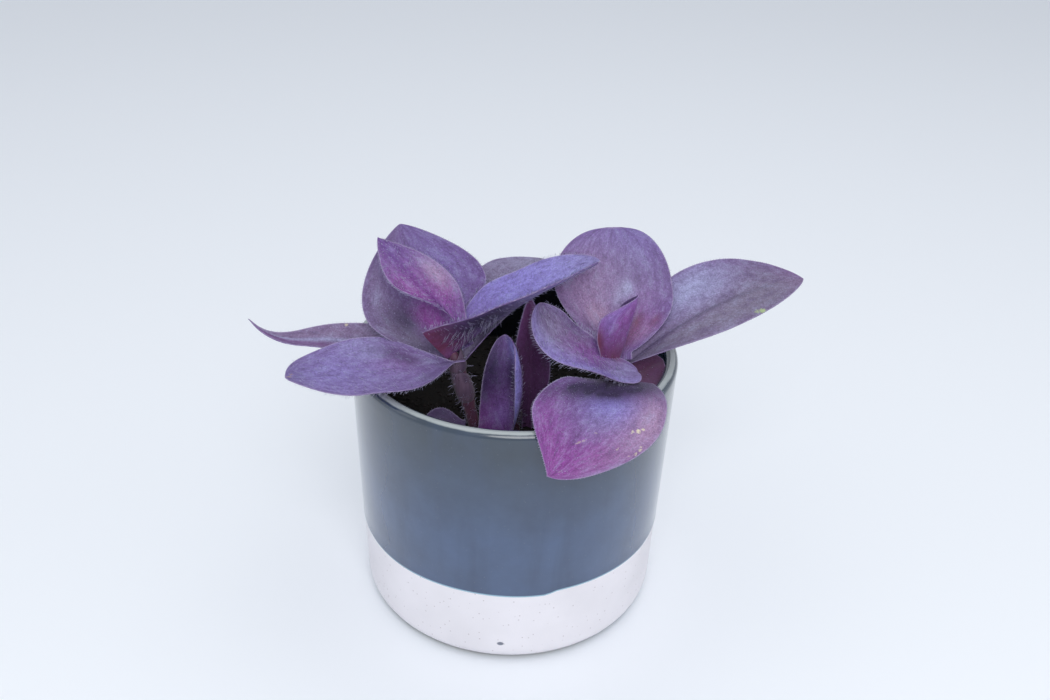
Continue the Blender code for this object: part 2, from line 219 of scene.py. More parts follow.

# Strokes of the darkest colour are mostly painted shade: at the bases, inside folds and rolls, and where
# other leaves shade a leaf.
# Leaves. A leaf runs from base to tip along a midrib that is pushed aside by bow at its middle and
# by curl at its tip. Its upper side faces "face". Pairs give the left half and the right half, seen
# from above with the tip ahead.
# width: twice the reach of a half whose share in sides is 1. widest: where along the leaf a half is
# widest. base_width and swell: share of the width at the base, and how late the half fills out.
# sharpness: how fast a half narrows to the tip. lobe: where the base rounds off, and over how far.
# fold: degrees each half rises from the midrib. clasp: the same at the very base.
# wave: height, cycles and phase of the margin's wave. cup: how far the margins rise as an arc.
# root: how far the base runs on into its stem. roll: side, where it starts, radius of a rolled margin.
# paint: for a colour, strokes: place along and across, reach along and across, amount.
# hairs: length and spacing along the margin, count on the upper side, count beneath.
# fringe: length of the hairs on the two margins, as a share of the length in hairs.
# fine: share of the usual hair radius. beard: count and length of hairs that hang under the base.
LEAVES = {
    "leaf_left_slender": {
        "base": (-20.4, -14.2, 88.5), "tip": (-80, -4, 85), "bow": (0, 0, 2.5), "curl": (0, 0, 9),
        "face": (0, -0.3, 1), "width": 14, "fold": 22, "widest": (0.45, 0.48), "sharpness": (0.9, 1.9),
        "base_width": (0.3, 0.3), "sides": (0.6, 1.12), "wave": (0.5, 1.3, 0.1), "root": 3,
        "hairs": (1, 1, 140, 60),
        "paint": {
            "bloom": ((0.42, 0.2, 0.6, 0.1, 1),),
            "magenta": ((0.5, -0.2, 0.9, 0.35, 0.35), (0.5, -0.6, 0.9, 0.5, 0.3)),
            "ash": ((0.5, 0, 2, 3, 0.7),),
            "rose": ((0.6, 0.7, 0.4, 0.6, 0.2),),
            "deep": ((0, 0, 0.3, 2, 0.6), (0.5, -0.2, 0.4, 0.6, 0.15)),
        },
    },
    "leaf_left_oval": {
        "base": (-17, -20, 91.5), "tip": (-63, -33, 92), "bow": (0, -0.5, 0), "face": (0, -0.15, 1),
        "width": 25, "fold": 5, "widest": (0.4, 0.43), "sharpness": (0.7, 0.42), "base_width": (0.05, 0),
        "sides": (1, 1.08), "swell": (1, 1.5), "wave": (0.7, 1.6, 0.3), "cup": 0.6, "root": 3,
        "hairs": (2.6, 0.42, 450, 150), "fringe": (1, 0.3), "fine": 0.65,
        "paint": {
            "bloom": ((0.5, 0, 2, 3, 0.18), (0.48, 0.6, 0.1, 0.28, 0.4), (0.15, 0.25, 0.05, 0.25, 0.45)),
            "blue": ((0.75, 0, 0.35, 1, 0.3),),
            "deep": ((0.35, 0.48, 0.09, 0.3, 0.5), (0.25, 0.25, 0.07, 0.28, 0.5), (0.03, 0.2, 0.1, 1, 0.5),
                (0.18, -0.75, 0.07, 0.3, 0.35), (0.98, 0, 0.12, 2, 0.2)),
            "magenta": ((0.32, 0.3, 0.18, 0.5, 0.45),),
        },
    },
    "leaf_left_back": {
        "base": (-19.6, -13.5, 91.5), "tip": (-35.5, 11, 120), "bow": (-1, 2, -2), "face": (0.1, -0.8, 0.6),
        "width": 37, "fold": 12, "widest": (0.42, 0.42), "sharpness": (0.78, 0.78),
        "base_width": (0.4, 0.4), "sides": (1.02, 1.06), "wave": (0.5, 1.2, 0.6), "cup": 1, "root": 2.5,
        "hairs": (0.9, 0.5, 600, 120),
        "paint": {
            "deep": ((0.33, -0.46, 0.14, 0.26, 0.75), (0.02, 0, 0.08, 2, 0.6),
                (0.12, -0.75, 0.14, 0.3, 0.35)),
            "ash": ((0.45, -0.75, 0.6, 0.5, 0.55), (0.15, -0.6, 0.2, 0.4, 0.4)),
            "blue": ((0.65, 0.5, 0.5, 0.6, 0.2),),
            "magenta": ((0.31, -0.08, 0.13, 0.24, 1), (0.18, 0.1, 0.12, 0.25, 0.8)),
        },
    },
    "leaf_left_boat": {
        "base": (-15.5, -17.6, 100), "tip": (-40, -5, 122.5), "bow": (1.6, 0, 0.6),
        "face": (-0.2, 0.8, -0.45), "width": 17.5, "fold": 14, "widest": (0.4, 0.68), "sharpness": (1, 0.8),
        "base_width": (0.35, 0), "sides": (0.88, 0.84), "swell": (1.2, 3), "wave": (0.3, 1, 0.2), "cup": -4,
        "root": 1.5, "hairs": (1.1, 0.28, 150, 1200),
        "paint": {
            "magenta": ((0.42, 0.2, 0.34, 0.9, 0.35), (0.33, -0.3, 0.14, 0.4, 0.5),
                (0.6, 0.8, 0.35, 0.5, 0.6)),
            # The pale and rose strokes are in part painted light, where the bulging face meets the light
            # from above.
            "bloom": ((0.57, -0.7, 0.12, 0.35, 0.4),),
            "rose": ((0.5, -0.6, 0.16, 0.45, 0.85),),
            "blue": ((0.86, 0, 0.2, 1.2, 0.15),),
            "deep": ((0.88, 0, 0.22, 1.5, 0.16),),
        },
    },
    "leaf_left_strap": {
        "base": (-19.8, -17.4, 91), "tip": (24, -6, 118), "bow": (0, 0, 2.6), "face": (0, 0.1, 1),
        "width": 26, "fold": 27, "clasp": (45, 95), "widest": (0.4, 0.45), "sharpness": (0.55, 0.8),
        "base_width": (0.1, 0.95), "sides": (0.99, 0.93), "wave": (0.35, 1.8, 0.4), "root": 0,
        "hairs": (2.4, 0.28, 750, 600), "fine": 0.6, "beard": (90, 3.4),
        "paint": {
            "blue": ((0.5, -0.5, 0.46, 1.5, 0.78),),
            "bloom": ((0.85, 0, 0.3, 2, 0.5),),
            "maroon": ((0.02, 0.6, 0.2, 0.9, 1),),
            # The dark stroke over the near half is painted shade, where that half lies in shadow.
            "deep": ((0.3, 0.65, 0.24, 0.7, 1),),
            "magenta": ((0.12, -0.4, 0.24, 0.5, 0.55),),
        },
    },
    "leaf_middle_back": {
        "base": (-14.1, -16, 90.5), "tip": (14, 33, 99), "bow": (3, -4, 9), "face": (0, -0.2, 1),
        "width": 24, "fold": 10, "widest": (0.45, 0.6), "sharpness": (1.3, 0.7), "base_width": (0.1, 0.2),
        "sides": (1.3, 0.3), "wave": (0.4, 1.2, 0), "root": 3, "hairs": (0.9, 0.8, 200, 80),
        "paint": {
            "ash": ((0.6, 0, 2, 3, 0.8),),
            "bloom": ((0.8, 0, 0.4, 2, 0.25),),
            # The dark stroke at the base is painted shade beneath leaf_left_strap.
            "deep": ((0.1, 0, 0.3, 2, 0.6),),
        },
    },
    "leaf_right_round": {
        "base": (30, -14.4, 92.8), "tip": (28, 9, 122), "bow": (0, 1.5, -1.5), "face": (0, -0.8, 0.6),
        "width": 36, "fold": 8, "widest": (0.6, 0.45), "sharpness": (0.37, 0.3), "base_width": (0.15, 0.25),
        "sides": (1, 0.97), "swell": (1, 0.8), "wave": (0.4, 1.4, 0.15), "cup": 2, "root": 2.5,
        "hairs": (0.8, 0.6, 500, 120),
        "paint": {
            "rose": ((0.5, -0.5, 0.4, 0.7, 0.55), (0.3, -0.35, 0.1, 0.25, 0.7),
                (0.16, 0.7, 0.1, 0.28, 0.4)),
            # The two narrow pale strokes are a painted highlight, a glossy patch. The broad one is bloom.
            "bloom": ((0.6, 0.3, 0.35, 0.7, 0.2), (0.52, 0.2, 0.07, 0.14, 0.8),
                (0.43, 0.04, 0.06, 0.1, 0.6)),
            "magenta": ((0.38, 0.45, 0.2, 0.35, 0.4), (0.18, 0.65, 0.12, 0.28, 0.45)),
            "maroon": ((0.26, 0.45, 0.06, 0.1, 0.6), (0.25, 0.8, 0.05, 0.1, 0.55),
                (0.12, 0.3, 0.12, 0.3, 0.6)),
            "blue": ((0.95, 0, 0.2, 1.5, 0.25),),
            "deep": ((0.75, 0.1, 0.3, 0.8, 0.1),),
        },
    },
    "leaf_right_young": {
        "base": (29.8, -18, 92.8), "tip": (34.5, -15, 112), "face": (-1, 0.2, 0.2), "width": 24, "fold": 50,
        "widest": (0.6, 0.58), "sharpness": (1, 1.9), "base_width": (0.45, 0.55), "sides": (0.5, 1.04),
        "wave": (0.3, 1, 0), "root": 2, "hairs": (0.6, 0.7, 30, 40),
        "paint": {
            "magenta": ((0.4, 0.5, 0.6, 0.9, 0.75),),
            "blue": ((0.6, 0.75, 0.3, 0.25, 0.35),),
            "maroon": ((0.02, 0.2, 0.24, 1, 0.85), (0.3, 0.98, 0.18, 0.18, 0.9)),
            # The dark strokes are painted shade inside the rolled young leaf.
            "deep": ((0.45, -0.6, 0.9, 0.5, 0.75), (0.2, 0.5, 0.4, 1, 0.22)),
        },
    },
    "leaf_right_wavy": {
        "base": (31.8, -21.6, 91.4), "tip": (7, -12, 107), "bow": (0, -5, -1), "face": (0, -0.4, 1),
        "width": 18, "fold": 5, "widest": (0.7, 0.8), "sharpness": (0.6, 0.75), "base_width": (0.55, 0.85),
        "sides": (1.06, 0.5), "swell": (5, 1.2), "lobe": (-0.02, 0.165), "wave": (1.1, 1.5, 0.55),
        "cup": 0.8, "root": 6, "hairs": (3, 0.34, 600, 400), "fine": 0.65,
        "paint": {
            "ash": ((0.85, -0.3, 0.3, 1.2, 0.7),),
            "bloom": ((0, -0.2, 0.2, 1, 0.35),),
            "blue": ((0.5, -0.9, 0.6, 0.35, 0.45),),
            "magenta": ((0.45, 0.2, 0.25, 0.6, 0.5),),
            "deep": ((0.6, 0.6, 0.22, 0.5, 0.35),),
            "maroon": ((0.1, 0.9, 0.12, 0.4, 0.6),),
        },
    },
    "leaf_front_heart": {
        "base": (28.3, -20.2, 86.5), "tip": (10, -60, 81.2), "bow": (3.5, 0, 7), "face": (0, -0.3, 1),
        "width": 36, "fold": 5, "widest": (0.55, 0.66), "sharpness": (0.58, 1.1), "base_width": (0.6, 0.1),
        "sides": (1.1, 0.82), "lobe": (0.02, 0.085), "wave": (0.6, 1.3, 0.75), "cup": -1.2, "root": 3,
        "hairs": (0.9, 0.45, 1000, 160),
        "paint": {
            # Most dark strokes are painted shade: the shadow that leaf_right_wavy casts across the upper
            # part, and shade at the base.
            "deep": ((0.05, 0, 0.16, 2, 0.9), (0.33, 0.28, 0.13, 0.3, 1), (0.45, 0.55, 0.11, 0.25, 0.9),
                (0.29, -0.12, 0.12, 0.3, 1), (0.2, -0.55, 0.1, 0.3, 0.6), (0.56, 0.92, 0.08, 0.18, 0.4)),
            "blue": ((0.46, -0.3, 0.14, 0.5, 0.7),),
            "bloom": ((0.62, -0.25, 0.14, 0.3, 0.3),),
            "magenta": ((0.97, 0.1, 0.24, 1.5, 1), (0.68, 0.75, 0.25, 0.35, 0.35),
                (0.75, -0.6, 0.2, 0.4, 0.45)),
            "rose": ((0.5, -0.85, 0.32, 0.34, 1),),
        },
    },
    "leaf_right_long": {
        "base": (32.6, -15.4, 89.2), "tip": (88, 12, 106), "bow": (0, 0, 6.5), "face": (0, -0.5, 1),
        "width": 22, "fold": 10, "widest": (0.42, 0.55), "sharpness": (0.85, 0.75), "base_width": (0.25, 0),
        "sides": (1.28, 0.97), "swell": (1.2, 0.9), "wave": (0.35, 1.4, 0.2), "root": 3,
        "hairs": (0.7, 0.8, 240, 100),
        "paint": {
            # The grey over one half is partly painted shade, the darker side of the fold. The narrow dark
            # stroke along the midrib is a painted crease shadow.
            "ash": ((0.5, 0.55, 2, 0.75, 0.95), (0.85, -0.5, 0.35, 0.8, 0.6)),
            "bloom": ((0.44, -0.55, 0.17, 0.42, 0.85),),
            "deep": ((0.42, 0.08, 0.36, 0.07, 0.45), (0.5, 0.6, 0.9, 0.5, 0.14), (0.1, 0, 0.14, 2, 0.35),
                (0.85, -0.4, 0.3, 0.6, 0.12)),
            "magenta": ((0.98, 0, 0.12, 2, 0.25),),
        },
    },
    "leaf_right_inner": {
        "base": (32.3, -15.6, 85.6), "tip": (45, -6, 86), "face": (0, -0.5, 1), "width": 16, "fold": 10,
        "widest": (0.45, 0.45), "sharpness": (0.8, 0.8), "base_width": (0.3, 0.3), "wave": (0.2, 1, 0),
        "root": 2.5, "hairs": (0.7, 0.9, 30, 20),
        "paint": {
            # Darkened all over: red brown tissue, with painted shade deep among the leaves.
            "maroon": ((0.5, 0, 2, 2, 0.85),),
            "deep": ((0.5, 0, 2, 2, 0.45),),
        },
    },
    "leaf_middle_folded": {
        "base": (-2.5, -19.5, 67.5), "tip": (-2.6, -17.5, 99), "bow": (1.6, -0.8, 0), "face": (-0.5, -1, 0),
        "width": 17, "fold": 30, "widest": (0.3, 0.62), "sharpness": (0.45, 0.38), "base_width": (0.9, 0.5),
        "sides": (1.02, 1.05), "roll": (1, 0.6, 1.6), "wave": (0.3, 1, 0.3), "root": 1.5,
        "hairs": (2.6, 0.5, 100, 500), "fringe": (0.2, 1), "fine": 0.55,
        "paint": {
            "blue": ((0.6, 1, 1.2, 0.22, 1), (0.15, -0.2, 0.2, 0.6, 0.35), (0.86, 0.5, 0.16, 0.4, 0.9)),
            "bloom": ((0.6, 1, 1, 0.15, 0.4),),
            "magenta": ((0.05, -0.5, 0.32, 1.2, 0.8),),
            # The dark strokes are painted shade inside the folded leaf.
            "deep": ((0.66, -1, 0.4, 0.8, 0.9), (0.6, 0.2, 0.18, 0.3, 0.8)),
        },
    },
    "leaf_middle_rolled": {
        "base": (4.6, -15, 67.5), "tip": (4, -12, 109), "bow": (0.8, 0.5, 0), "face": (0, -1, 0),
        "width": 13, "fold": 30, "widest": (0.45, 0.45), "sharpness": (0.8, 0.8), "base_width": (0.3, 0.3),
        "sides": (0.9, 1), "wave": (0.2, 1, 0), "root": 1.5, "hairs": (1.8, 0.4, 60, 60), "fine": 0.6,
        "paint": {
            "maroon": ((0.5, 0, 2, 2, 0.55),),
            "magenta": ((0.8, 0, 0.4, 2, 0.5),),
            # The dark stroke is painted shade in the gap between the leaves.
            "deep": ((0.4, 0, 0.8, 2, 0.5),),
        },
    },
    "leaf_low_left": {
        "base": (-15.3, -16.8, 67.6), "tip": (-27, -20, 68.6), "bow": (0, 0, 1), "face": (0, -0.3, 1),
        "width": 10, "fold": 10, "widest": (0.45, 0.45), "sharpness": (0.8, 0.8), "base_width": (0.3, 0.3),
        "wave": (0.2, 1, 0.5), "root": 1.5, "hairs": (0.9, 0.8, 40, 20),
        "paint": {
            "ash": ((0.5, 0, 1, 2, 0.4),),
            # The dark stroke is painted shade low in the pot.
            "deep": ((0.5, 0, 2, 3, 0.6),),
        },
    },
}

# Old injuries: place across and along in millimetres on the leaf, radius, amount.
BLEMISHES = {
    "leaf_front_heart": {
        "colour": "#e2d8b6",
        "spots": (
            (-13.2, 27.6, 0.55, 0.8), (-13.9, 26.4, 0.42, 0.65), (-12, 28.6, 0.35, 0.55),
            (-2.4, 37.3, 0.5, 0.32), (-3.4, 36.2, 0.35, 0.25), (-12.6, 34.7, 0.28, 0.4),
            (-6.3, 45.3, 0.35, 0.4), (-16.4, 31.4, 0.3, 0.5), (-17.1, 32.6, 0.3, 0.55),
            (-17.2, 33.8, 0.28, 0.5), (-16.6, 35, 0.28, 0.4), (-4.6, 33, 0.28, 0.25),
        ),
    },
    "leaf_right_long": {
        "colour": "#a9bf80",
        "spots": ((10.2, 42.3, 1, 0.8), (9.4, 40.6, 0.65, 0.55)),
    },
    "leaf_left_slender": {
        "colour": "#c9bda6",
        "spots": ((6.4, 32.5, 0.55, 0.8), (5.4, 20, 0.35, 0.7)),
    },
    "leaf_left_oval": {
        "colour": "#a88f7c",
        "spots": ((-0.6, 46.9, 1, 0.8), (2.2, 46, 0.6, 0.5)),
    },
}


def linear(colour):
    """sRGB hex to linear red, green and blue."""
    parts = [int(colour[index:index + 2], 16) / 255 for index in (1, 3, 5)]
    return tuple(part / 12.92 if part <= 0.04045 else ((part + 0.055) / 1.055) ** 2.4 for part in parts)


def colour_property(name, description, colour):
    return bpy.props.FloatVectorProperty(
        name=name, description=description, subtype="COLOR", size=3, min=0.0, max=1.0,
        default=linear(colour),
    )


def length_property(name, description, millimetres):
    return bpy.props.FloatProperty(
        name=name, description=description, default=millimetres * MM, min=0.0,
        precision=5, subtype="DISTANCE", unit="LENGTH",
    )


def power_property(name, description, watts):
    return bpy.props.FloatProperty(name=name, description=description, default=watts, min=0.0, unit="POWER")


class PotSettings(bpy.types.PropertyGroup):
    glaze_line: length_property("Glaze line", "Height where the glaze ends on the outside", 27.7)
    glaze: colour_property("Glaze", "Slate glaze where it is thick", "#3f5273")
    glaze_high: colour_property("High glaze", "Greener glaze close to the rim", "#2a3640")
    glaze_streak: colour_property("Streaks", "Darker runs in the glaze", "#31415c")
    glaze_edge: colour_property("Glaze edge", "Thin pale roll where the glaze stops", "#9fc8dc")
    # Thin glaze in the pits, and on the crest of the rim also a painted highlight.
    thin_glaze_and_highlight: colour_property("Thin glaze", "Glaze worn thin on the crest of the rim", "#aab1b2")
    # Painted shade: a near black laid over the inner wall below the rim.
    stain: colour_property("Stain", "Peat washed onto the inner wall", "#0e0d0f")
    clay: colour_property("Clay", "Bare fired stoneware", "#e6e3e8")
    clay_speck: colour_property("Specks", "Iron specks in the clay", "#8a7a7e")


class PlantSettings(bpy.types.PropertyGroup):
    thickness: length_property("Leaf thickness", "Thickness of a leaf at its midrib", 0.6)
    hair_radius: length_property("Hair radius", "Radius of a hair at its root", 0.06)
    violet: colour_property("Violet", "Main colour of the leaves", "#6a4c88")
    magenta: colour_property("Magenta", "Warm flush towards tips and bases", "#843a8c")
    # Pale waxy bloom, and also a painted highlight on a glossy patch.
    bloom: colour_property("Bloom", "Pale waxy bloom", "#9c9dc4")
    blue: colour_property("Blue", "Blue cast under dense hairs", "#8a82cf")
    # Dusty rose, and in part painted light on a bulging leaf.
    rose: colour_property("Rose", "Dusty rose of the sunned side", "#a07fa3")
    maroon: colour_property("Maroon", "Red brown of young and shaded tissue", "#6b2f4c")
    # The grey: the cast of old leaves, and in part painted shade on the darker half of a folded leaf.
    ash: colour_property("Ash", "Grey cast of the oldest leaves", "#7b7088")
    # The darkest colour: dark pigment in the mottling and the stem blotches, and painted shade in the leaf
    # strokes.
    deep: colour_property("Deep", "Dark violet without bloom", "#2b2040")
    under: colour_property("Underside", "Main colour beneath the leaves", "#6c4188")
    margin: colour_property("Margin", "Clear pale rim of a leaf", "#a597b8")
    stem: colour_property("Stem", "Brownish purple stem", "#4a3849")
    sheath: colour_property("Sheath", "Papery sheath round the stem", "#77607a")
    hair: colour_property("Hair", "Leaf and stem hairs", "#bdb5d0")


class SoilSettings(bpy.types.PropertyGroup):
    relief: length_property("Relief", "Height of the lumps in the soil", 1.6)
    peat: colour_property("Peat", "Damp peat", "#0d0b0a")
    bark: colour_property("Bark", "Composted bark crumbs", "#221812")


class StageSettings(bpy.types.PropertyGroup):
    floor: colour_property("Floor", "Plain pale floor", "#f3f6fa")
    key_power: power_property("Key light", "Power of the large light overhead", 1.2)
    fill_power: power_property("Side light", "Power of each light at the side", 0.5)
    front_power: power_property("Front light", "Power of the large light behind the viewer", 2.9)
    sky: bpy.props.FloatProperty(
        name="Sky", description="Strength of the even light from all round", default=0.70, min=0.0,
    )


SETTINGS = {
    "tradescantia_pot": PotSettings,
    "tradescantia_plant": PlantSettings,
    "tradescantia_soil": SoilSettings,
    "tradescantia_stage": StageSettings,
}


def smooth_step(value, low, high):
    share = min(max((value - low) / (high - low), 0.0), 1.0)
    return share * share * (3 - 2 * share)


def deselect():
    bpy.ops.object.select_all(action="DESELECT")


def select_only(made):
    deselect()
    made.select_set(True)
    bpy.context.view_layer.objects.active = made


def settle(made, name):
    """Name a new object and move its place into its mesh."""
    select_only(made)
    made.name = name
    made.data.name = name
    bpy.ops.object.transform_apply(location=True, rotation=True, scale=True)


def belongs(made, slot, *nodes):
    """Tie a finished piece to the frame."""
    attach(made, "root")
    if nodes:
        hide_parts(*nodes)


# Materials -----------------------------------------------------------------------------------


def add_node(tree, kind, inputs=None, **settings):
    """Add a shader node with its settings. An input is a value, or a node and one of its outputs."""
    made = tree.nodes.new("ShaderNode" + kind)
    for key, value in settings.items():
        setattr(made, key, value)
    for key, value in (inputs or {}).items():
        if isinstance(value, tuple) and value and isinstance(value[0], bpy.types.Node):
            tree.links.new(value[0].outputs[value[1]], made.inputs[key])
        else:
            made.inputs[key].default_value = value
    return made


def new_material(name):
    """An empty material, its tree, and the place on the object that patterns are laid out by."""
    material = bpy.data.materials.new(name)
    material.use_nodes = True
    tree = material.node_tree
    tree.nodes.clear()
    return material, tree, (add_node(tree, "TexCoord"), "Object")


def solid(colour):
    return (*colour, 1.0)


def noises(tree, place, unit, patterns):
    """Noise by name, from its size along x, y and z in a unit, detail, roughness and distortion."""
    made = {}
    for key, (*sizes, detail, roughness, distortion) in patterns.items():
        stretched = add_node(
            tree, "Mapping", {"Vector": place, "Scale": tuple(1 / (size * unit) for size in sizes)},
        )
        cloudy = add_node(tree, "TexNoise", {
            "Vector": (stretched, "Vector"), "Scale": 1.0, "Detail": detail, "Roughness": roughness,
            "Distortion": distortion,
        })
        made[key] = (cloudy, "Fac")
    return made


def layered(tree, last, layers):
    """Lay colours over what is there, each by a share: a source, and how it is graded or None."""
    for share, grade, tone in layers:
        if grade:
            share = (add_node(tree, "MapRange", {"Value": share, **dict(zip(GRADE, grade))}), 0)
        last = (add_node(tree, "Mix", {0: share, 6: last, 7: solid(tone)}, data_type="RGBA"), 2)
    return last


def shaded(tree, last, shades):
    """Darken and lighten what is there by sources, each graded to a factor about one."""
    for source, *grade in shades:
        factor = add_node(tree, "MapRange", {"Value": source, **dict(zip(GRADE, grade))})
        last = (add_node(tree, "VectorMath", {0: last, 1: (factor, 0)}, operation="MULTIPLY"), 0)
    return last


def finish_material(tree, inputs, relief=None, strength=0.0, depth=0.0):
    """Surface and output, with a relief so many millimetres deep where one is given."""
    if relief:
        bump = add_node(tree, "Bump", {"Height": relief, "Strength": strength, "Distance": depth * MM})
        inputs["Normal"] = (bump, "Normal")
    shader = add_node(tree, "BsdfPrincipled", inputs)
    add_node(tree, "OutputMaterial", {"Surface": (shader, "BSDF")})


def washed(tree, last, paints, broken_by, settings):
    """Wash the painted colours over what is there, each broken up by a pattern."""
    for paint in paints:
        share = (add_node(tree, "Attribute", attribute_name=paint), "Fac")
        broken = add_node(
            tree, "Math", {0: broken_by, 1: WASH_BREAK, 2: -WASH_BREAK / 2}, operation="MULTIPLY_ADD",
        )
        lifted = add_node(
            tree, "Math", {0: share, 1: (broken, 0), 2: share}, operation="MULTIPLY_ADD", use_clamp=True,
        )
        last = layered(tree, last, (((lifted, 0), None, getattr(settings, paint)),))
    return last


def blemished(tree, last, leaf_map, blemishes):
    """Old scars with ragged outlines."""
    torn = add_node(
        tree, "TexNoise", {"Vector": leaf_map, "Scale": 1.1, "Detail": 3.0, "Roughness": 0.6},
    )
    centred = add_node(
        tree, "VectorMath", {0: (torn, "Color"), 1: (0.5, 0.5, 0.5)}, operation="SUBTRACT",
    )
    place = add_node(
        tree, "VectorMath", {0: (centred, 0), 1: (SCAR_TEAR, SCAR_TEAR, 0.0), 2: leaf_map},
        operation="MULTIPLY_ADD",
    )
    for x, y, radius, amount in blemishes["spots"]:
        away = add_node(tree, "VectorMath", {0: (place, 0), 1: (x, y, 0.0)}, operation="DISTANCE")
        grade = (radius * 0.6, radius * 1.3, amount, 0.0)
        last = layered(tree, last, (((away, "Value"), grade, linear(blemishes["colour"])),))
    return last


def leaf_material(name, settings, ground, gloss, blemishes=None):
    """Living leaf skin: a satin cuticle over coloured tissue.

    The painted shares give each leaf its own flush, and also painted shade and a few painted highlights.
    Mottled pigment and a patchy waxy bloom break the colour up, faint parallel veins run to the tip,
    and a short pale felt gives a velvet sheen.
    """
    material, tree, place = new_material(name)
    leaf_map = (add_node(tree, "UVMap", uv_map="leaf_map"), "UV")
    pattern = noises(tree, leaf_map, 1.0, LEAF_PATTERNS)
    pattern |= noises(tree, place, MM, {"grain": (0.45, 0.45, 0.45, 2.0, 0.7, 0.0)})
    last = washed(tree, solid(ground), FLUSHES, pattern["patches"], settings)
    last = layered(tree, last, [
        (pattern[key], (none, full, 0.0, most), getattr(settings, tone))
        for key, none, full, most, tone in LEAF_MOTTLING
    ])
    last = washed(tree, last, SHADES, pattern["patches"], settings)
    last = shaded(tree, last, [
        (pattern[key], 0.32, 0.68, 1.0 - swing, 1.0 + swing) for key, swing in LEAF_SHADING.items()
    ])
    edge = add_node(tree, "Attribute", attribute_name="edge_mm")
    ragged = add_node(
        tree, "Math", {0: pattern["mottle"], 1: -0.6, 2: (edge, "Fac")}, operation="MULTIPLY_ADD",
    )
    last = layered(tree, last, (((ragged, 0), (-0.25, 0.05, 0.55, 0.0), settings.margin),))
    if blemishes:
        last = blemished(tree, last, leaf_map, blemishes)
    relief = add_node(
        tree, "Math", {0: pattern["grain"], 1: 0.5, 2: pattern["felt"]}, operation="MULTIPLY_ADD",
    )
    finish_material(tree, {
        "Base Color": last, "Roughness": gloss, "IOR": PLANT_IOR,
        "Sheen Weight": 0.14, "Sheen Roughness": 0.45, "Sheen Tint": solid(settings.hair),
    }, (relief, 0), 0.55, 0.12)
    return material


def margin_material(settings):
    """Clear leaf margin: a thin horny rim without pigment, so it looks pale and a little glossy."""
    material, tree, place = new_material("clear_leaf_margin")
    grain = noises(tree, place, MM, {"grain": (1.5, 1.5, 1.5, 2.0, 0.5, 0.0)})["grain"]
    last = layered(tree, solid(settings.margin), ((grain, (0.35, 0.60, 0.2, 1.0), settings.violet),))
    finish_material(tree, {"Base Color": last, "Roughness": 0.4, "IOR": PLANT_IOR})
    return material


def stem_material(name, settings, ground, stripe, spacing):
    """Fleshy stem skin or papery sheath: fine lengthwise ribs, blotched with darker pigment."""
    material, tree, place = new_material(name)
    pattern = noises(tree, place, MM, {
        "ribs": (spacing, spacing, STEM_RIB_LENGTH, 2.0, 0.6, 0.0),
        "blotch": (6.0, 6.0, 6.0, 4.0, 0.5, 0.0),
    })
    last = layered(tree, solid(ground), (
        (pattern["ribs"], None, stripe), (pattern["blotch"], (0.45, 0.70, 0.0, 0.6), settings.deep),
    ))
    finish_material(tree, {
        "Base Color": last, "Roughness": 0.5, "IOR": PLANT_IOR,
        "Sheen Weight": 0.15, "Sheen Roughness": 0.5,
    }, pattern["ribs"], 0.6, 0.3)
    return material


def hair_material(settings):
    """Dry plant hair: colourless cell walls that scatter white light."""
    material, tree, place = new_material("plant_hair")
    grain = noises(tree, place, MM, {"grain": (4.0, 4.0, 4.0, 2.0, 0.5, 0.0)})["grain"]
    last = layered(tree, solid(settings.hair), ((grain, None, settings.bloom),))
    finish_material(tree, {"Base Color": last, "Roughness": 0.45, "IOR": 1.45})
    return material


def glaze_material(settings):
    """Stoneware glaze: glassy and smooth, with darker runs down the wall, faint clouding, tiny
    pits, a pale roll at its lower edge, a pale crest of thin glaze with a painted highlight,
    and painted shade on the inner wall."""
    material, tree, place = new_material("slate_stoneware_glaze")
    height = add_node(tree, "SeparateXYZ", {"Vector": place})
    pattern = noises(tree, place, MM, {
        "runs": (9.0, 9.0, 60.0, 4.0, 0.55, 0.4), "clouds": (14.0, 14.0, 14.0, 5.0, 0.6, 0.0),
    })
    pits = add_node(tree, "TexVoronoi", {"Vector": place, "Scale": 1.0 / (1.6 * MM)})
    edge, crest, stain = [
        (add_node(tree, "Attribute", attribute_name=name), "Fac")
        for name in ("glaze_mm", "crest", "stain")
    ]
    # The pale crest: thin glaze on the rim with a painted highlight.
    crest_highlight = add_node(tree, "Math", {0: pattern["clouds"], 1: 1.3, 2: crest}, operation="MULTIPLY_ADD")
    last = layered(tree, solid(settings.glaze), (
        ((height, "Z"), (0.050, 0.080, 0.0, 0.85), settings.glaze_high),
        (pattern["runs"], (0.46, 0.72, 0.0, 0.50), settings.glaze_streak),
    ))
    last = shaded(tree, last, ((pattern["clouds"], 0.30, 0.70, 0.86, 1.14),))
    last = layered(tree, last, (
        ((pits, "Distance"), (0.04, 0.09, 0.16, 0.0), settings.thin_glaze_and_highlight),
        (edge, (0.30, 0.75, 1.0, 0.0), settings.glaze_edge),
        ((crest_highlight, 0), (1.05, 1.55, 0.0, 0.85), settings.thin_glaze_and_highlight),
        # Painted shade over the inner wall.
        (stain, None, settings.stain),
    ))
    finish_material(tree, {
        "Base Color": last, "Roughness": 0.24, "IOR": POTTERY_IOR,
        "Coat Weight": 0.75, "Coat Roughness": 0.06,
    }, pattern["clouds"], 0.25, 0.4)
    return material


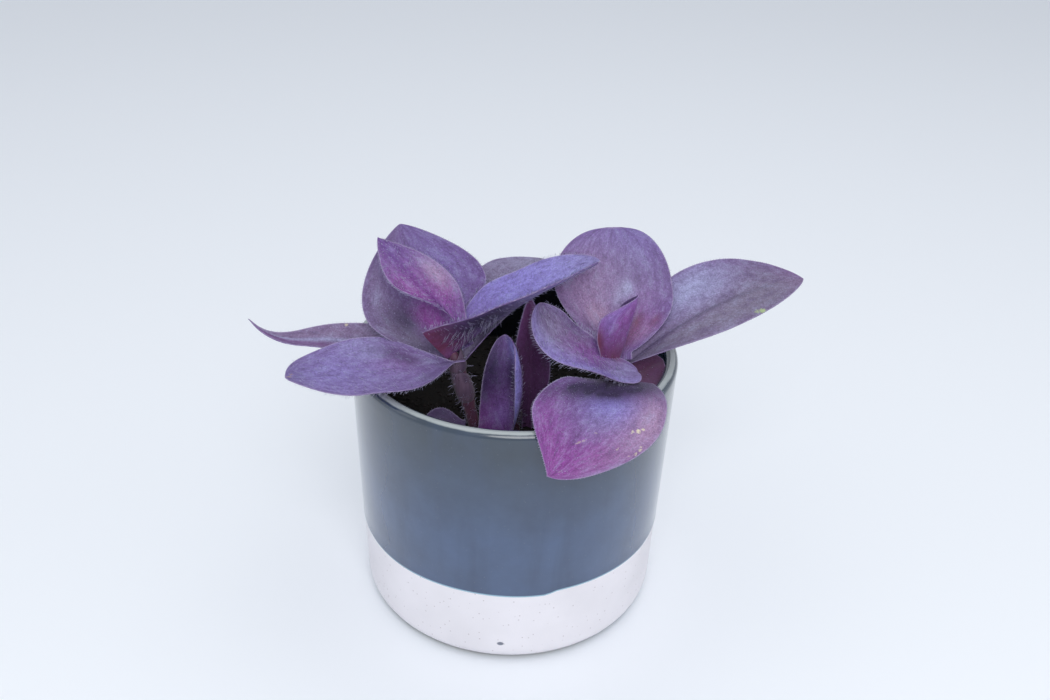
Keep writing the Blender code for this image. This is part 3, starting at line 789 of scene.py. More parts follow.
def clay_material(settings):
    """Bare fired stoneware: dry and fine grained, with scattered iron specks and one larger one."""
    material, tree, place = new_material("bare_stoneware")
    pattern = noises(tree, place, MM, {
        "grain": (0.5, 0.5, 0.5, 3.0, 0.7, 0.0), "clouds": (20.0, 20.0, 20.0, 3.0, 0.5, 0.0),
    })
    last = shaded(tree, tuple(settings.clay), ((pattern["clouds"], 0.30, 0.70, 0.94, 1.04),))
    specks = add_node(tree, "TexVoronoi", {"Vector": place, "Scale": 1.0 / (1.5 * MM)})
    loud = add_node(tree, "SeparateColor", {"Color": (specks, "Color")})
    chosen = add_node(tree, "Math", {0: (loud, "Red"), 1: SPECK_RARITY}, operation="GREATER_THAN")
    near = add_node(tree, "MapRange", {
        "Value": (specks, "Distance"), **dict(zip(GRADE, (0.07, 0.19, 0.55, 0.0))),
    })
    speck = add_node(tree, "Math", {0: (near, 0), 1: (chosen, 0)}, operation="MULTIPLY")
    away = add_node(tree, "VectorMath", {0: place, 1: BIG_SPECK_PLACE}, operation="SUBTRACT")
    per_size = tuple(1.0 / (size * MM) for size in BIG_SPECK_SIZE)
    reach = add_node(tree, "VectorMath", {0: (away, 0), 1: per_size}, operation="MULTIPLY")
    spot = add_node(tree, "VectorMath", {0: (reach, 0)}, operation="LENGTH")
    last = layered(tree, last, (
        ((speck, 0), None, settings.clay_speck),
        ((spot, "Value"), (0.75, 1.1, 0.8, 0.0), settings.glaze_streak),
    ))
    finish_material(
        tree, {"Base Color": last, "Roughness": 0.72, "IOR": POTTERY_IOR}, pattern["grain"], 0.4, 0.08,
    )
    return material


def soil_material(name, dark, light, size):
    """Damp potting mix: dark fibrous crumbs, a little lighter where they have dried."""
    material, tree, place = new_material(name)
    grain = noises(tree, place, MM, {"grain": (size, size, size, 5.0, 0.75, 0.0)})["grain"]
    last = layered(tree, solid(dark), ((grain, (0.42, 0.68, 0.0, 0.9), light),))
    finish_material(tree, {"Base Color": last, "Roughness": 0.88, "IOR": 1.4}, grain, 0.9, 0.5)
    return material


# Pot and soil --------------------------------------------------------------------------------


def outer_radius(height):
    share = (height - FOOT_ROUNDING) / (POT_HEIGHT - FOOT_ROUNDING)
    return POT_LOW_RADIUS + (POT_RIM_RADIUS - POT_LOW_RADIUS) * share


def arc(centre, radius, start, end, steps):
    """Points (radius, height) along an arc, by angles in degrees from outwards towards up."""
    points = []
    for step in range(steps + 1):
        angle = math.radians(start + (end - start) * step / steps)
        points.append((centre[0] + radius * math.cos(angle), centre[1] + radius * math.sin(angle)))
    return points


def pot_profile(line):
    """The pot's section from the edge of its flat base, up the outside, and down the inside."""
    foot = (POT_LOW_RADIUS - FOOT_ROUNDING - GLAZE_BODY, FOOT_ROUNDING)
    rings = arc(foot, FOOT_ROUNDING, -90.0, 0.0, 8)
    for height in (*CLAY_RINGS, line - 0.6, line - 0.15):
        rings.append((outer_radius(height) - GLAZE_BODY, height))
    for out, up in GLAZE_ROLL:
        rings.append((outer_radius(line) + GLAZE_BODY * out, line + up))
    lip = POT_WALL / 2
    top = POT_HEIGHT - lip
    start = rings[-1][1]
    for step in range(1, WALL_RINGS + 1):
        height = start + (top - start) * step / (WALL_RINGS + 1)
        rings.append((outer_radius(height), height))
    rings += arc((POT_RIM_RADIUS - lip, top), lip, 0.0, 180.0, 18)
    low = POT_FLOOR + INNER_ROUNDING
    for step in range(1, WALL_RINGS):
        height = top + (low - top) * step / WALL_RINGS
        rings.append((outer_radius(height) - POT_WALL, height))
    corner = (outer_radius(POT_FLOOR) - POT_WALL - INNER_ROUNDING, low)
    return rings + arc(corner, INNER_ROUNDING, 0.0, -90.0, 6)


def glaze_wander(angle):
    """How far the glaze's lower edge strays up, in millimetres, at an angle round the pot."""
    climb = smooth_step(angle, *CLIMB_STARTS) * (1.0 - smooth_step(angle, *CLIMB_ENDS))
    ripple = sum(height * math.sin(waves * angle + phase) for height, waves, phase in GLAZE_RIPPLES)
    return GLAZE_CLIMB * climb + ripple


def add_share(mesh, name, values):
    """Store one number a vertex for a material to read."""
    mesh.attributes.new(name, "FLOAT", "POINT").data.foreach_set("value", values)


def make_pot(settings):
    """Turned pot: one ring pulled up outside, over the rim and down inside, then its glaze edge."""
    line = settings.glaze_line / MM
    rings = pot_profile(line)
    radius, height = rings[0]
    deselect()
    bpy.ops.mesh.primitive_circle_add(
        vertices=POT_SIDES, radius=radius * MM, fill_type="NGON", location=(0.0, 0.0, height * MM),
    )
    pot = bpy.context.object
    settle(pot, "stoneware_pot")
    bpy.ops.object.mode_set(mode="EDIT")
    bpy.ops.mesh.select_all(action="SELECT")
    for next_radius, next_height in rings[1:]:
        bpy.ops.mesh.extrude_region_move(
            TRANSFORM_OT_translate={"value": (0.0, 0.0, (next_height - height) * MM)},
        )
        if abs(next_radius - radius) > 1e-9:
            ratio = next_radius / radius
            bpy.ops.transform.resize(
                value=(ratio, ratio, 1.0), center_override=(0.0, 0.0, next_height * MM),
            )
        radius, height = next_radius, next_height
    bpy.ops.mesh.select_all(action="SELECT")
    bpy.ops.mesh.normals_make_consistent(inside=False)
    bpy.ops.object.mode_set(mode="OBJECT")
    mesh = pot.data
    above, crest, stain = [], [], []
    for vert in mesh.vertices:
        x, y, z = (part / MM for part in vert.co)
        angle = math.atan2(y, x)
        outside = math.hypot(x, y) > outer_radius(z) - POT_WALL / 2
        above.append(z - line if outside else INSIDE)
        # The crest share paints the pale crest: thin glaze and a painted highlight.
        drop = CREST_OUTSIDE if outside else CREST_INSIDE
        crest.append(smooth_step(z, POT_HEIGHT - drop, POT_HEIGHT - drop * 0.15))
        # Painted shade on the inner wall, strongest away from the unshaded side, gone just below the rim.
        near_rim = smooth_step(z, *(POT_HEIGHT - depth for depth in INNER_SHADE_FADE))
        unshaded = smooth_step(math.cos(angle - UNSHADED_SIDE), 0.3, 0.9)
        stain.append(0.0 if outside else (INNER_SHADE_SHARE - INNER_SHADE_LIFTED * unshaded) * (1.0 - near_rim))
        if outside:
            near = 1.0 - smooth_step(abs(z - line), *GLAZE_EDGE_FADE)
            vert.co.z += glaze_wander(angle) * near * MM
    mesh.materials.append(glaze_material(settings))
    mesh.materials.append(clay_material(settings))
    for face in mesh.polygons:
        face.material_index = int(all(above[index] <= 0.01 for index in face.vertices))
    for name, values in (("glaze_mm", above), ("crest", crest), ("stain", stain)):
        add_share(mesh, name, values)
    select_only(pot)
    bpy.ops.object.shade_smooth_by_angle(angle=SHARP_EDGE)
    belongs(pot, "glazed_stoneware", "pot")


def soil_rise(x, y, edge, relief):
    """How far the soil stands above its level: clods with crumbs on them, lower at the wall."""
    place = Vector((x, y, 0.0))
    clods = noise.noise(place / 9.0)
    crumbs = noise.noise(place / 3.2 + Vector((7.0, 3.0, 1.0)))
    grit = noise.noise(place / 1.5 + Vector((2.0, 9.0, 4.0)))
    fall = smooth_step(math.hypot(x, y), edge * SOIL_FALL_FROM, edge) * SOIL_FALL
    return relief * (clods * 0.5 + crumbs * 0.4 + grit * 0.25 - SOIL_SINK) - fall


def make_soil(settings):
    """Potting mix: a plug with a lumpy top that falls away at the wall."""
    radius = outer_radius(SOIL_LEVEL) - POT_WALL - SOIL_CLEARANCE
    middle = (SOIL_LEVEL - SOIL_DEPTH / 2) * MM
    deselect()
    bpy.ops.mesh.primitive_cylinder_add(
        vertices=SOIL_SIDES, radius=radius * MM, depth=SOIL_DEPTH * MM, end_fill_type="NGON",
        location=(0.0, 0.0, middle),
    )
    soil = bpy.context.object
    settle(soil, "potting_soil")
    for face in soil.data.polygons:
        face.select = face.normal.z > 0.9
    bpy.ops.object.mode_set(mode="EDIT")
    bpy.ops.mesh.select_mode(type="FACE")
    for _ in range(SOIL_RINGS):
        bpy.ops.mesh.inset(thickness=radius * MM / (SOIL_RINGS + 1.0), depth=0.0)
    bpy.ops.object.mode_set(mode="OBJECT")
    for vert in soil.data.vertices:
        if vert.co.z >= middle:
            vert.co.z += soil_rise(vert.co.x / MM, vert.co.y / MM, radius, settings.relief / MM) * MM
    soil.data.materials.append(soil_material("damp_peat", settings.peat, settings.bark, 1.2))
    select_only(soil)
    bpy.ops.object.shade_smooth()
    belongs(soil, "potting_mix", "soil")


def taken_for_copies(made):
    """Corners and faces of an object that is only modelled to be copied. The object goes."""
    corners = np.array([vert.co for vert in made.data.vertices])
    faces = [tuple(face.vertices) for face in made.data.polygons]
    bpy.data.objects.remove(made, do_unlink=True)
    return corners, faces


def join_copies(name, copies, faces, skin, slot):
    """One piece out of many copies of a shape, each copy given by its corners in metres."""
    count = len(copies[0])
    indices = [
        tuple(number * count + index for index in face) for number in range(len(copies)) for face in faces
    ]
    mesh = bpy.data.meshes.new(name)
    mesh.from_pydata(np.concatenate(copies).tolist(), [], indices)
    mesh.materials.append(skin)
    made = bpy.data.objects.new(name, mesh)
    bpy.context.scene.collection.objects.link(made)
    belongs(made, slot)
    return made


def make_crumbs(settings):
    """Crumbs of bark and peat: one angular crumb, copied, turned and squashed all over the top."""
    deselect()
    bpy.ops.mesh.primitive_ico_sphere_add(subdivisions=1, radius=0.5)
    bpy.ops.object.mode_set(mode="EDIT")
    bpy.ops.mesh.select_all(action="SELECT")
    bpy.ops.transform.resize(value=CRUMB_SHAPE)
    bpy.ops.object.mode_set(mode="OBJECT")
    corners, faces = taken_for_copies(bpy.context.object)
    rng = random.Random(11)
    edge = outer_radius(SOIL_LEVEL) - POT_WALL
    crumbs = []
    for _ in range(CRUMB_COUNT):
        away = (edge - CRUMBS_FROM_WALL) * math.sqrt(rng.random())
        angle = rng.uniform(0.0, math.tau)
        x, y = away * math.cos(angle), away * math.sin(angle)
        size = rng.choice(CRUMB_SIZES) * rng.uniform(0.8, 1.25)
        long = rng.choice(CRUMB_STRETCHES)
        turn = Matrix.Rotation(rng.uniform(0, math.tau), 3, "Z")
        turn = turn @ Matrix.Rotation(rng.uniform(-CRUMB_TILT, CRUMB_TILT), 3, "X")
        shape = corners * np.array((size * long, size, size))
        shape = shape * (1.0 + CRUMB_UNEVENNESS * np.array([[rng.uniform(-1, 1)] for _ in corners]))
        rise = soil_rise(x, y, edge, settings.relief / MM) + size * CRUMB_LIFT
        crumbs.append((shape @ np.array(turn).T + np.array((x, y, SOIL_LEVEL + rise))) * MM)
    bark = soil_material("bark_crumb", settings.peat, settings.bark, 3.0)
    join_copies("soil_crumbs", crumbs, faces, bark, "potting_mix")


# Leaves --------------------------------------------------------------------------------------


def midrib_point(leaf, t):
    base = Vector(leaf["base"])
    tip = Vector(leaf["tip"])
    middle = (base + tip) / 2 + Vector(leaf.get("bow", (0, 0, 0))) * 2
    curl = Vector(leaf.get("curl", (0, 0, 0)))
    return base * (1 - t) ** 2 + middle * 2 * t * (1 - t) + tip * t ** 2 + curl * max(t, 0.0) ** 9


def half_width(leaf, t, u):
    """Distance from midrib to margin: it swells to its widest place, then narrows to the tip."""
    side = 0 if u < 0 else 1
    widest = leaf["widest"][side]
    base = leaf["base_width"][side]
    if t < widest:
        rise = math.sin(math.pi / 2 * max(t, 0.0) / widest) ** leaf.get("swell", (1.2, 1.2))[side]
        share = base + (1 - base) * rise
    else:
        reach = (t - widest) / (1 - widest)
        share = max(math.cos(math.pi / 2 * reach), 0.0) ** leaf["sharpness"][side]
    lobe_from, lobe_reach = leaf.get("lobe", (-1.0, 1.0))
    if t < lobe_from:
        share *= math.sqrt(max(1.0 - ((lobe_from - t) / lobe_reach) ** 2, 0.0))
    return max(share * leaf["width"] / 2 * leaf.get("sides", (1.0, 1.0))[side], 0.10)


def leaf_frame(leaf, t):
    """Directions along, across (to the right) and up from the leaf at a place on its midrib."""
    step = 0.01
    along = (midrib_point(leaf, t + step) - midrib_point(leaf, t - step)).normalized()
    face = Vector(leaf["face"]).normalized()
    up = (face - along * face.dot(along)).normalized()
    return along, along.cross(up), up


def leaf_point(leaf, t, u):
    """A point on the leaf's upper side, in millimetres, u from -1 at the left margin to 1."""
    _, side, up = leaf_frame(leaf, t)
    reach = half_width(leaf, t, u)
    inner = min(max(t, 0.0), 1.0)
    clasp = leaf.get("clasp", (leaf["fold"], leaf["fold"]))[0 if u < 0 else 1]
    fold = math.radians(leaf["fold"] + (clasp - leaf["fold"]) * (1 - max(t, 0.0)) ** 3.5)
    across = u * reach
    lift = (math.sqrt(u * u + MIDRIB_ROUNDING) - math.sqrt(MIDRIB_ROUNDING)) * reach
    out = across * math.cos(fold)
    rise = lift * math.sin(fold)
    roll_side, roll_from, roll_radius = leaf.get("roll", (0, 1.0, 1.0))
    if u * roll_side > roll_from:
        fade = math.sin(math.pi * inner) ** 0.5
        turn = (abs(u) - roll_from) * reach / roll_radius * fade
        if turn > 1e-4:
            local_out = roll_radius / fade * math.sin(turn) + roll_from * reach
            local_rise = roll_radius / fade * (1 - math.cos(turn))
            out = (local_out * math.cos(fold) - local_rise * math.sin(fold)) * roll_side
            rise = local_out * math.sin(fold) + local_rise * math.cos(fold)
    full = math.sin(math.pi * inner) ** 0.7
    height, cycles, phase = leaf["wave"]
    swing = math.sin(math.tau * (cycles * t + phase) + (0.0 if u > 0 else 1.9))
    rise += height * swing * abs(u) ** 2.2 * full
    rise += leaf.get("cup", 0.0) * (u * u - abs(u)) * full
    rise -= MIDRIB_GROOVE * math.exp(-(across / MIDRIB_GROOVE_WIDTH) ** 2) * (1 - max(t, 0.0) ** 4)
    place = midrib_point(leaf, t) + side * out
    dent = sum(noise.noise(place / size) * depth for size, depth in DENTS)
    return place + up * (rise + dent * full)


def leaf_length(leaf):
    points = [midrib_point(leaf, step / 20) for step in range(21)]
    return sum((points[step + 1] - points[step]).length for step in range(20))


def painted(leaf, paint, t, u):
    amount = 0.0
    for at_t, at_u, reach_t, reach_u, strength in leaf["paint"].get(paint, ()):
        amount += strength * math.exp(-((t - at_t) / reach_t) ** 2 - ((u - at_u) / reach_u) ** 2)
    return min(amount, 1.0)


def make_leaf(name, leaf, settings, skins):
    """A blade: a grid bent over the midrib, painted, then thickened with a thinner clear margin."""
    deselect()
    bpy.ops.mesh.primitive_grid_add(x_subdivisions=LEAF_COLUMNS, y_subdivisions=LEAF_ROWS, size=2.0)
    blade = bpy.context.object
    settle(blade, name + "_blade")
    mesh = blade.data
    length = leaf_length(leaf)
    root = leaf["root"] / length
    body = blade.vertex_groups.new(name="body")
    places, edges = [], []
    for vert in mesh.vertices:
        share = (vert.co.y + 1) / 2
        t = -root + (1 + root) * (1 - math.cos(math.pi * share)) / 2
        u = math.sin(math.pi / 2 * vert.co.x) * 0.35 + vert.co.x * 0.65
        places.append((t, u))
        from_edge = min((1 - abs(u)) * half_width(leaf, t, u), (1 - t) * length)
        edges.append(from_edge)
        body.add([vert.index], smooth_step(from_edge, 0.0, 2.5), "REPLACE")
        vert.co = leaf_point(leaf, t, u) * MM
    leaf_map = mesh.uv_layers.active
    leaf_map.name = "leaf_map"
    for loop in mesh.loops:
        t, u = places[loop.vertex_index]
        leaf_map.data[loop.index].uv = (u * leaf["width"] / 2, t * length)
    add_share(mesh, "edge_mm", edges)
    for paint in FLUSHES + SHADES:
        add_share(mesh, paint, [painted(leaf, paint, t, u) for t, u in places])
    for skin in skins:
        mesh.materials.append(skin)
    shell = blade.modifiers.new("thickness", "SOLIDIFY")
    shell.thickness = settings.thickness
    shell.offset = -1.0
    shell.vertex_group = "body"
    shell.thickness_vertex_group = LEAF_MARGIN_SHARE
    shell.material_offset = 1
    shell.material_offset_rim = 2
    select_only(blade)
    bpy.ops.object.modifier_apply(modifier="thickness")
    bpy.ops.object.shade_smooth_by_angle(angle=SHARP_LEAF_EDGE)
    belongs(blade, "leaf_skin", name)


# Stems and hairs -----------------------------------------------------------------------------


def stem_line(stem):
    """Points along the middle of a stem, from its planted end to its top, in metres."""
    deselect()
    bpy.ops.curve.primitive_bezier_curve_add()
    line = bpy.context.object
    spline = line.data.splines[0]
    line.data.resolution_u = 14
    spline.bezier_points.add(len(stem["route"]) - 2)
    for point, place in zip(spline.bezier_points, stem["route"]):
        point.co = Vector(place) * MM
        point.handle_left_type = "AUTO"
        point.handle_right_type = "AUTO"
    bpy.ops.object.convert(target="MESH")
    points = [vert.co.copy() for vert in line.data.vertices]
    bpy.data.objects.remove(line, do_unlink=True)
    return points


def swept(points, radii, capped):
    """A round tube through points, its radius given at each, as a mesh object."""
    deselect()
    bpy.ops.curve.primitive_nurbs_path_add()
    tube = bpy.context.object
    tube.data.splines.clear()
    spline = tube.data.splines.new("POLY")
    spline.points.add(len(points) - 1)
    for point, place, radius in zip(spline.points, points, radii):
        point.co = (*place, 1.0)
        point.radius = radius
    tube.data.dimensions = "3D"
    tube.data.bevel_depth = MM
    tube.data.bevel_resolution = 5
    tube.data.use_fill_caps = capped
    bpy.ops.object.convert(target="MESH")
    bpy.ops.object.mode_set(mode="EDIT")
    bpy.ops.mesh.select_all(action="SELECT")
    bpy.ops.mesh.remove_doubles(threshold=1e-6)
    bpy.ops.mesh.normals_make_consistent(inside=False)
    bpy.ops.object.mode_set(mode="OBJECT")
    tube.data.materials.clear()
    return tube


def stem_radius(stem, share):
    """Radius along a stem: swollen at the foot of each sheath, and drawn to a blunt point on top."""
    radius = stem["radius"] * 0.74
    for low, _ in stem["sheaths"]:
        radius += 0.35 * math.exp(-((share - low) / 0.03) ** 2)
    return radius * (1.0 - 0.75 * smooth_step(share, 0.90, 1.0) ** 2)


def slant(sheath, stretch, number):
    """Pull one side of a sheath's mouth up and let the other side down."""
    axis = (stretch[-1] - stretch[0]).normalized()
    length = (stretch[-1] - stretch[0]).length
    high_side = Matrix.Rotation(math.pi * number, 3, axis) @ axis.orthogonal().normalized()
    for vert in sheath.data.vertices:
        away = vert.co - stretch[0]
        share = min(max(away.dot(axis) / length, 0.0), 1.0)
        lean = (away - axis * away.dot(axis)).dot(high_side)
        vert.co += axis * lean * 0.9 * share ** 2


def make_stem(name, stem, skins):
    """A fleshy stem and the papery leaf sheaths that wrap it, each open at a slanted mouth."""
    points = stem_line(stem)
    last = len(points) - 1
    stalk = swept(points, [stem_radius(stem, index / last) for index in range(last + 1)], True)
    settle(stalk, name + "_stalk")
    stalk.data.materials.append(skins[0])
    bpy.ops.object.shade_smooth()
    belongs(stalk, "stem_skin", name)
    for number, (low, high) in enumerate(stem["sheaths"], 1):
        stretch = points[round(low * last):round(high * last) + 1]
        widths = []
        for index in range(len(stretch)):
            share = index / (len(stretch) - 1)
            swell = 0.8 * math.sin(math.pi * share ** 0.6) ** 0.5 + 0.35 * share
            widths.append(stem["radius"] * 0.80 + swell)
        sheath = swept(stretch, widths, False)
        settle(sheath, "%s_sheath_%d" % (name, number))
        slant(sheath, stretch, number)
        sheath.data.materials.append(skins[1])
        wall = sheath.modifiers.new("wall", "SOLIDIFY")
        wall.thickness = SHEATH_WALL * MM
        wall.offset = -1.0
        bpy.ops.object.modifier_apply(modifier="wall")
        bpy.ops.object.shade_smooth_by_angle(angle=SHARP_EDGE)
        belongs(sheath, "stem_skin")


def unit_hair():
    """One hair, a metre long and a metre across its root: a three-sided stalk drawn to a point."""
    deselect()
    bpy.ops.mesh.primitive_cylinder_add(
        vertices=3, radius=1.0, depth=0.5, end_fill_type="NGON", location=(0.0, 0.0, 0.25),
    )
    hair = bpy.context.object
    bpy.ops.object.transform_apply(location=True, rotation=True, scale=True)
    for face in hair.data.polygons:
        face.select = face.normal.z > 0.9
    bpy.ops.object.mode_set(mode="EDIT")
    bpy.ops.mesh.select_mode(type="FACE")
    bpy.ops.transform.resize(value=(HAIR_TAPER, HAIR_TAPER, 1.0), center_override=(0.0, 0.0, 0.5))
    bpy.ops.mesh.extrude_region_move(TRANSFORM_OT_translate={"value": (0.0, 0.0, 0.5)})
    bpy.ops.mesh.merge(type="CENTER")
    bpy.ops.object.mode_set(mode="OBJECT")
    return taken_for_copies(hair)


def make_hairs(name, hairs, shape, radius, skin):
    """Copies of one hair, each with its root, direction, length in millimetres and bend."""
    corners, faces = shape
    share = corners[:, 2:3] ** 2
    copies = []
    for root, direction, length, bend in hairs:
        turn = np.array(direction.to_track_quat("Z", "Y").to_matrix())
        placed = corners * np.array((radius, radius, length * MM)) @ turn.T
        copies.append(placed + share * np.array(bend) * length * MM + np.array(root) * MM)
    join_copies(name, copies, faces, skin, "leaf_skin").data.shade_smooth()


def scatter(rng, amount):
    return Vector((rng.uniform(-1, 1), rng.uniform(-1, 1), rng.uniform(-1, 1))) * amount


def skin_place(leaf, t, u):
    """A point on the upper side, the way to the tip along it, and the way out of it."""
    point = leaf_point(leaf, t, u)
    ahead = (leaf_point(leaf, t + 0.02, u) - point).normalized()
    across = (leaf_point(leaf, t, u + (0.04 if u < 0 else -0.04)) - point).normalized()
    normal = ahead.cross(across)
    if normal.dot(leaf_frame(leaf, t)[2]) < 0:
        normal = -normal
    return point, ahead, normal


def leaf_hairs(leaf, rng, thickness):
    """Fringe along both margins, and shorter hairs that lean to the tip on both sides."""
    long, spacing, above, beneath = leaf["hairs"]
    length = leaf_length(leaf)
    hairs = []
    for u, fringe in zip((-1, 1), leaf.get("fringe", (1.0, 1.0))):
        t = FRINGE_FROM
        while t < FRINGE_TO:
            along = leaf_frame(leaf, t)[0]
            point = leaf_point(leaf, t, u)
            out = (point - leaf_point(leaf, t, u * 0.96)).normalized()
            direction = (out + along * rng.uniform(0.0, 0.7) + scatter(rng, 0.35)).normalized()
            shorter = 1.0 - FRINGE_SHORTENING * smooth_step(t, 0.5, 1.0)
            bend = along * 0.25 + Vector((0.0, 0.0, -0.15)) + scatter(rng, 0.2)
            reach = long * fringe * shorter * rng.uniform(0.55, 1.1)
            hairs.append((point - out * 0.05, direction, reach, bend))
            t += spacing / length * rng.uniform(0.6, 1.4)
    for count, sign in ((above, 1), (beneath, -1)):
        for _ in range(count):
            t = rng.uniform(0.02, 0.97)
            u = rng.uniform(-0.98, 0.98)
            if rng.random() > half_width(leaf, t, u) / leaf["width"] * 2:
                continue
            point, ahead, normal = skin_place(leaf, t, u)
            root = point + normal * (0.02 if sign > 0 else -thickness / MM)
            direction = (normal * sign + ahead * 0.9 + scatter(rng, 0.5)).normalized()
            bend = ahead * 0.3 + scatter(rng, 0.2)
            hairs.append((root, direction, long * rng.uniform(*HAIR_SHARES), bend))
    count, beard = leaf.get("beard", (0, 0.0))
    for _ in range(count):
        point, _, normal = skin_place(leaf, rng.uniform(0.08, 0.36), rng.uniform(0.0, 0.7))
        direction = (BEARD_WAY - normal * 0.45 + scatter(rng, 0.45)).normalized()
        bend = Vector((-0.2, 0.1, -0.2)) + scatter(rng, 0.25)
        hairs.append((point - normal * thickness / MM, direction, beard * rng.uniform(0.5, 1.1), bend))
    return hairs


def stem_hairs(stem, rng):
    """Long pale hairs that stand out all round a stem above the soil."""
    points = stem_line(stem)
    hairs = []
    for _ in range(stem["hairs"]):
        share = rng.uniform(0.30, 0.96)
        index = min(int(share * (len(points) - 1)), len(points) - 2)
        axis = (points[index + 1] - points[index]).normalized()
        around = Matrix.Rotation(rng.uniform(0, math.tau), 3, axis) @ axis.orthogonal().normalized()
        wrapped = stem["sheaths"][0][0] < share < stem["sheaths"][-1][1]
        root = points[index] / MM + around * (stem["radius"] + (0.3 if wrapped else -0.75))
        direction = (around + axis * rng.uniform(-0.3, 0.9) + scatter(rng, 0.6)).normalized()
        length = rng.uniform(*STEM_HAIR_LENGTHS)
        hairs.append((root, direction, length, Vector((0, 0, -0.2)) + scatter(rng, 0.4)))
    return hairs


# Operators -----------------------------------------------------------------------------------


def aimed(made, turn):
    """Turn a light or the camera, and return it."""
    made.rotation_mode = "QUATERNION"
    made.rotation_quaternion = turn
    return made


class OBJECT_OT_tradescantia_stage(bpy.types.Operator):
    """Add the pale floor, the soft lights and the camera"""

    bl_idname = "object.tradescantia_stage"
    bl_label = "Stage"
    bl_options = {"REGISTER", "UNDO"}

    def execute(self, context):
        scene = context.scene
        settings = scene.tradescantia_stage
        scene.view_settings.view_transform = "Standard"
        deselect()
        bpy.ops.mesh.primitive_plane_add(size=FLOOR_SIZE)
        floor = context.object
        floor.name = "floor"
        material, tree, _ = new_material("matt_white_paint")
        finish_material(tree, {"Base Color": solid(settings.floor), "Roughness": 0.6})
        floor.data.materials.append(material)
        world = bpy.data.worlds.new("soft_sky")
        world.use_nodes = True
        sky = world.node_tree.nodes["Background"]
        sky.inputs["Color"].default_value = solid(linear(SKY_COLOUR))
        sky.inputs["Strength"].default_value = settings.sky
        scene.world = world
        for name, (place, size, power) in LIGHTS.items():
            bpy.ops.object.light_add(type="AREA", location=place)
            way = Vector(LIT_PLACE) - Vector(place)
            light = aimed(context.object, way.to_track_quat("-Z", "Y"))
            light.name = name + "_light"
            light.data.shape = "DISK"
            light.data.size = size
            light.data.energy = getattr(settings, power)
        bpy.ops.object.camera_add(location=CAMERA_PLACE)
        turn = Matrix.Rotation(math.radians(CAMERA_TILT), 3, "X")
        turn = turn @ Matrix.Rotation(math.radians(CAMERA_LEAN), 3, "Z")
        camera = aimed(context.object, turn.to_quaternion())
        camera.data.sensor_width = SENSOR_WIDTH
        camera.data.lens = FOCAL_LENGTH
        camera.data.clip_start = 0.01
        camera.data.clip_end = 20.0
        scene.camera = camera
        return {"FINISHED"}


class OBJECT_OT_tradescantia_pot(bpy.types.Operator):
    """Add the half-glazed stoneware pot"""

    bl_idname = "object.tradescantia_pot"
    bl_label = "Pot"
    bl_options = {"REGISTER", "UNDO"}

    def execute(self, context):
        make_pot(context.scene.tradescantia_pot)
        return {"FINISHED"}


class OBJECT_OT_tradescantia_soil(bpy.types.Operator):
    """Add the potting mix and its crumbs"""

    bl_idname = "object.tradescantia_soil"
    bl_label = "Soil"
    bl_options = {"REGISTER", "UNDO"}

    def execute(self, context):
        make_soil(context.scene.tradescantia_soil)
        make_crumbs(context.scene.tradescantia_soil)
        return {"FINISHED"}


class OBJECT_OT_tradescantia_stems(bpy.types.Operator):
    """Add the stems with their sheaths"""

    bl_idname = "object.tradescantia_stems"
    bl_label = "Stems"
    bl_options = {"REGISTER", "UNDO"}

    def execute(self, context):
        settings = context.scene.tradescantia_plant
        skins = (
            stem_material("fleshy_stem", settings, settings.stem, settings.maroon, 0.9),
            stem_material("papery_sheath", settings, settings.sheath, settings.stem, 0.6),
        )
        for name, stem in STEMS.items():
            make_stem(name, stem, skins)
        return {"FINISHED"}


class OBJECT_OT_tradescantia_leaves(bpy.types.Operator):
    """Add the leaves"""

    bl_idname = "object.tradescantia_leaves"
    bl_label = "Leaves"
    bl_options = {"REGISTER", "UNDO"}

    def execute(self, context):
        settings = context.scene.tradescantia_plant
        upper = leaf_material("leaf_upper_skin", settings, settings.violet, 0.46)
        under = leaf_material("leaf_under_skin", settings, settings.under, 0.50)
        margin = margin_material(settings)
        for name, leaf in LEAVES.items():
            top = upper
            if name in BLEMISHES:
                top = leaf_material("injured_" + name, settings, settings.violet, 0.46, BLEMISHES[name])
            make_leaf(name, leaf, settings, (top, under, margin))
        return {"FINISHED"}


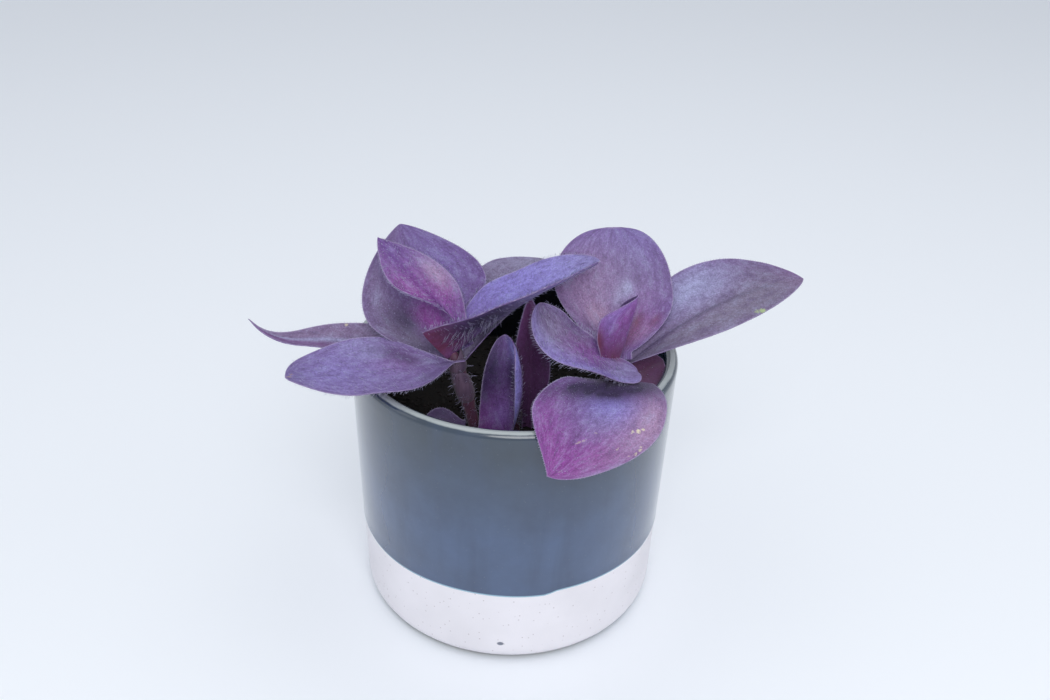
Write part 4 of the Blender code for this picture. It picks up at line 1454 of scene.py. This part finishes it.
class OBJECT_OT_tradescantia_hairs(bpy.types.Operator):
    """Add the hairs of the leaves and stems"""

    bl_idname = "object.tradescantia_hairs"
    bl_label = "Hairs"
    bl_options = {"REGISTER", "UNDO"}

    def execute(self, context):
        settings = context.scene.tradescantia_plant
        skin = hair_material(settings)
        shape = unit_hair()
        rng = random.Random(5)
        for name, leaf in LEAVES.items():
            hairs = leaf_hairs(leaf, rng, settings.thickness)
            radius = settings.hair_radius * leaf.get("fine", 1.0)
            make_hairs(name + "_hairs", hairs, shape, radius, skin)
        for name, stem in STEMS.items():
            radius = settings.hair_radius * STEM_HAIR_FINENESS
            make_hairs(name + "_hairs", stem_hairs(stem, rng), shape, radius, skin)
        return {"FINISHED"}


class VIEW3D_PT_tradescantia(bpy.types.Panel):
    """Sidebar panel with the pieces and their settings"""

    bl_label = "Potted Tradescantia"
    bl_idname = "VIEW3D_PT_tradescantia"
    bl_space_type = "VIEW_3D"
    bl_region_type = "UI"
    bl_category = "Tradescantia"

    def draw(self, context):
        for step in STEPS:
            self.layout.operator(step.bl_idname)
        for name, group in SETTINGS.items():
            box = self.layout.box()
            for setting in group.__annotations__:
                box.prop(getattr(context.scene, name), setting)


STEPS = (
    OBJECT_OT_tradescantia_stage,
    OBJECT_OT_tradescantia_pot,
    OBJECT_OT_tradescantia_soil,
    OBJECT_OT_tradescantia_stems,
    OBJECT_OT_tradescantia_leaves,
    OBJECT_OT_tradescantia_hairs,
)
CLASSES = (*SETTINGS.values(), *STEPS, VIEW3D_PT_tradescantia)


def register():
    for kind in CLASSES:
        bpy.utils.register_class(kind)
    for name, group in SETTINGS.items():
        setattr(bpy.types.Scene, name, bpy.props.PointerProperty(type=group))


def unregister():
    for name in SETTINGS:
        delattr(bpy.types.Scene, name)
    for kind in reversed(CLASSES):
        bpy.utils.unregister_class(kind)


def main():
    register()
    bpy.ops.object.tradescantia_stage()
    bpy.ops.object.tradescantia_pot()
    bpy.ops.object.tradescantia_soil()
    bpy.ops.object.tradescantia_stems()
    bpy.ops.object.tradescantia_leaves()
    bpy.ops.object.tradescantia_hairs()
    bpy.context.view_layer.update()


if __name__ == "__main__":
    main()
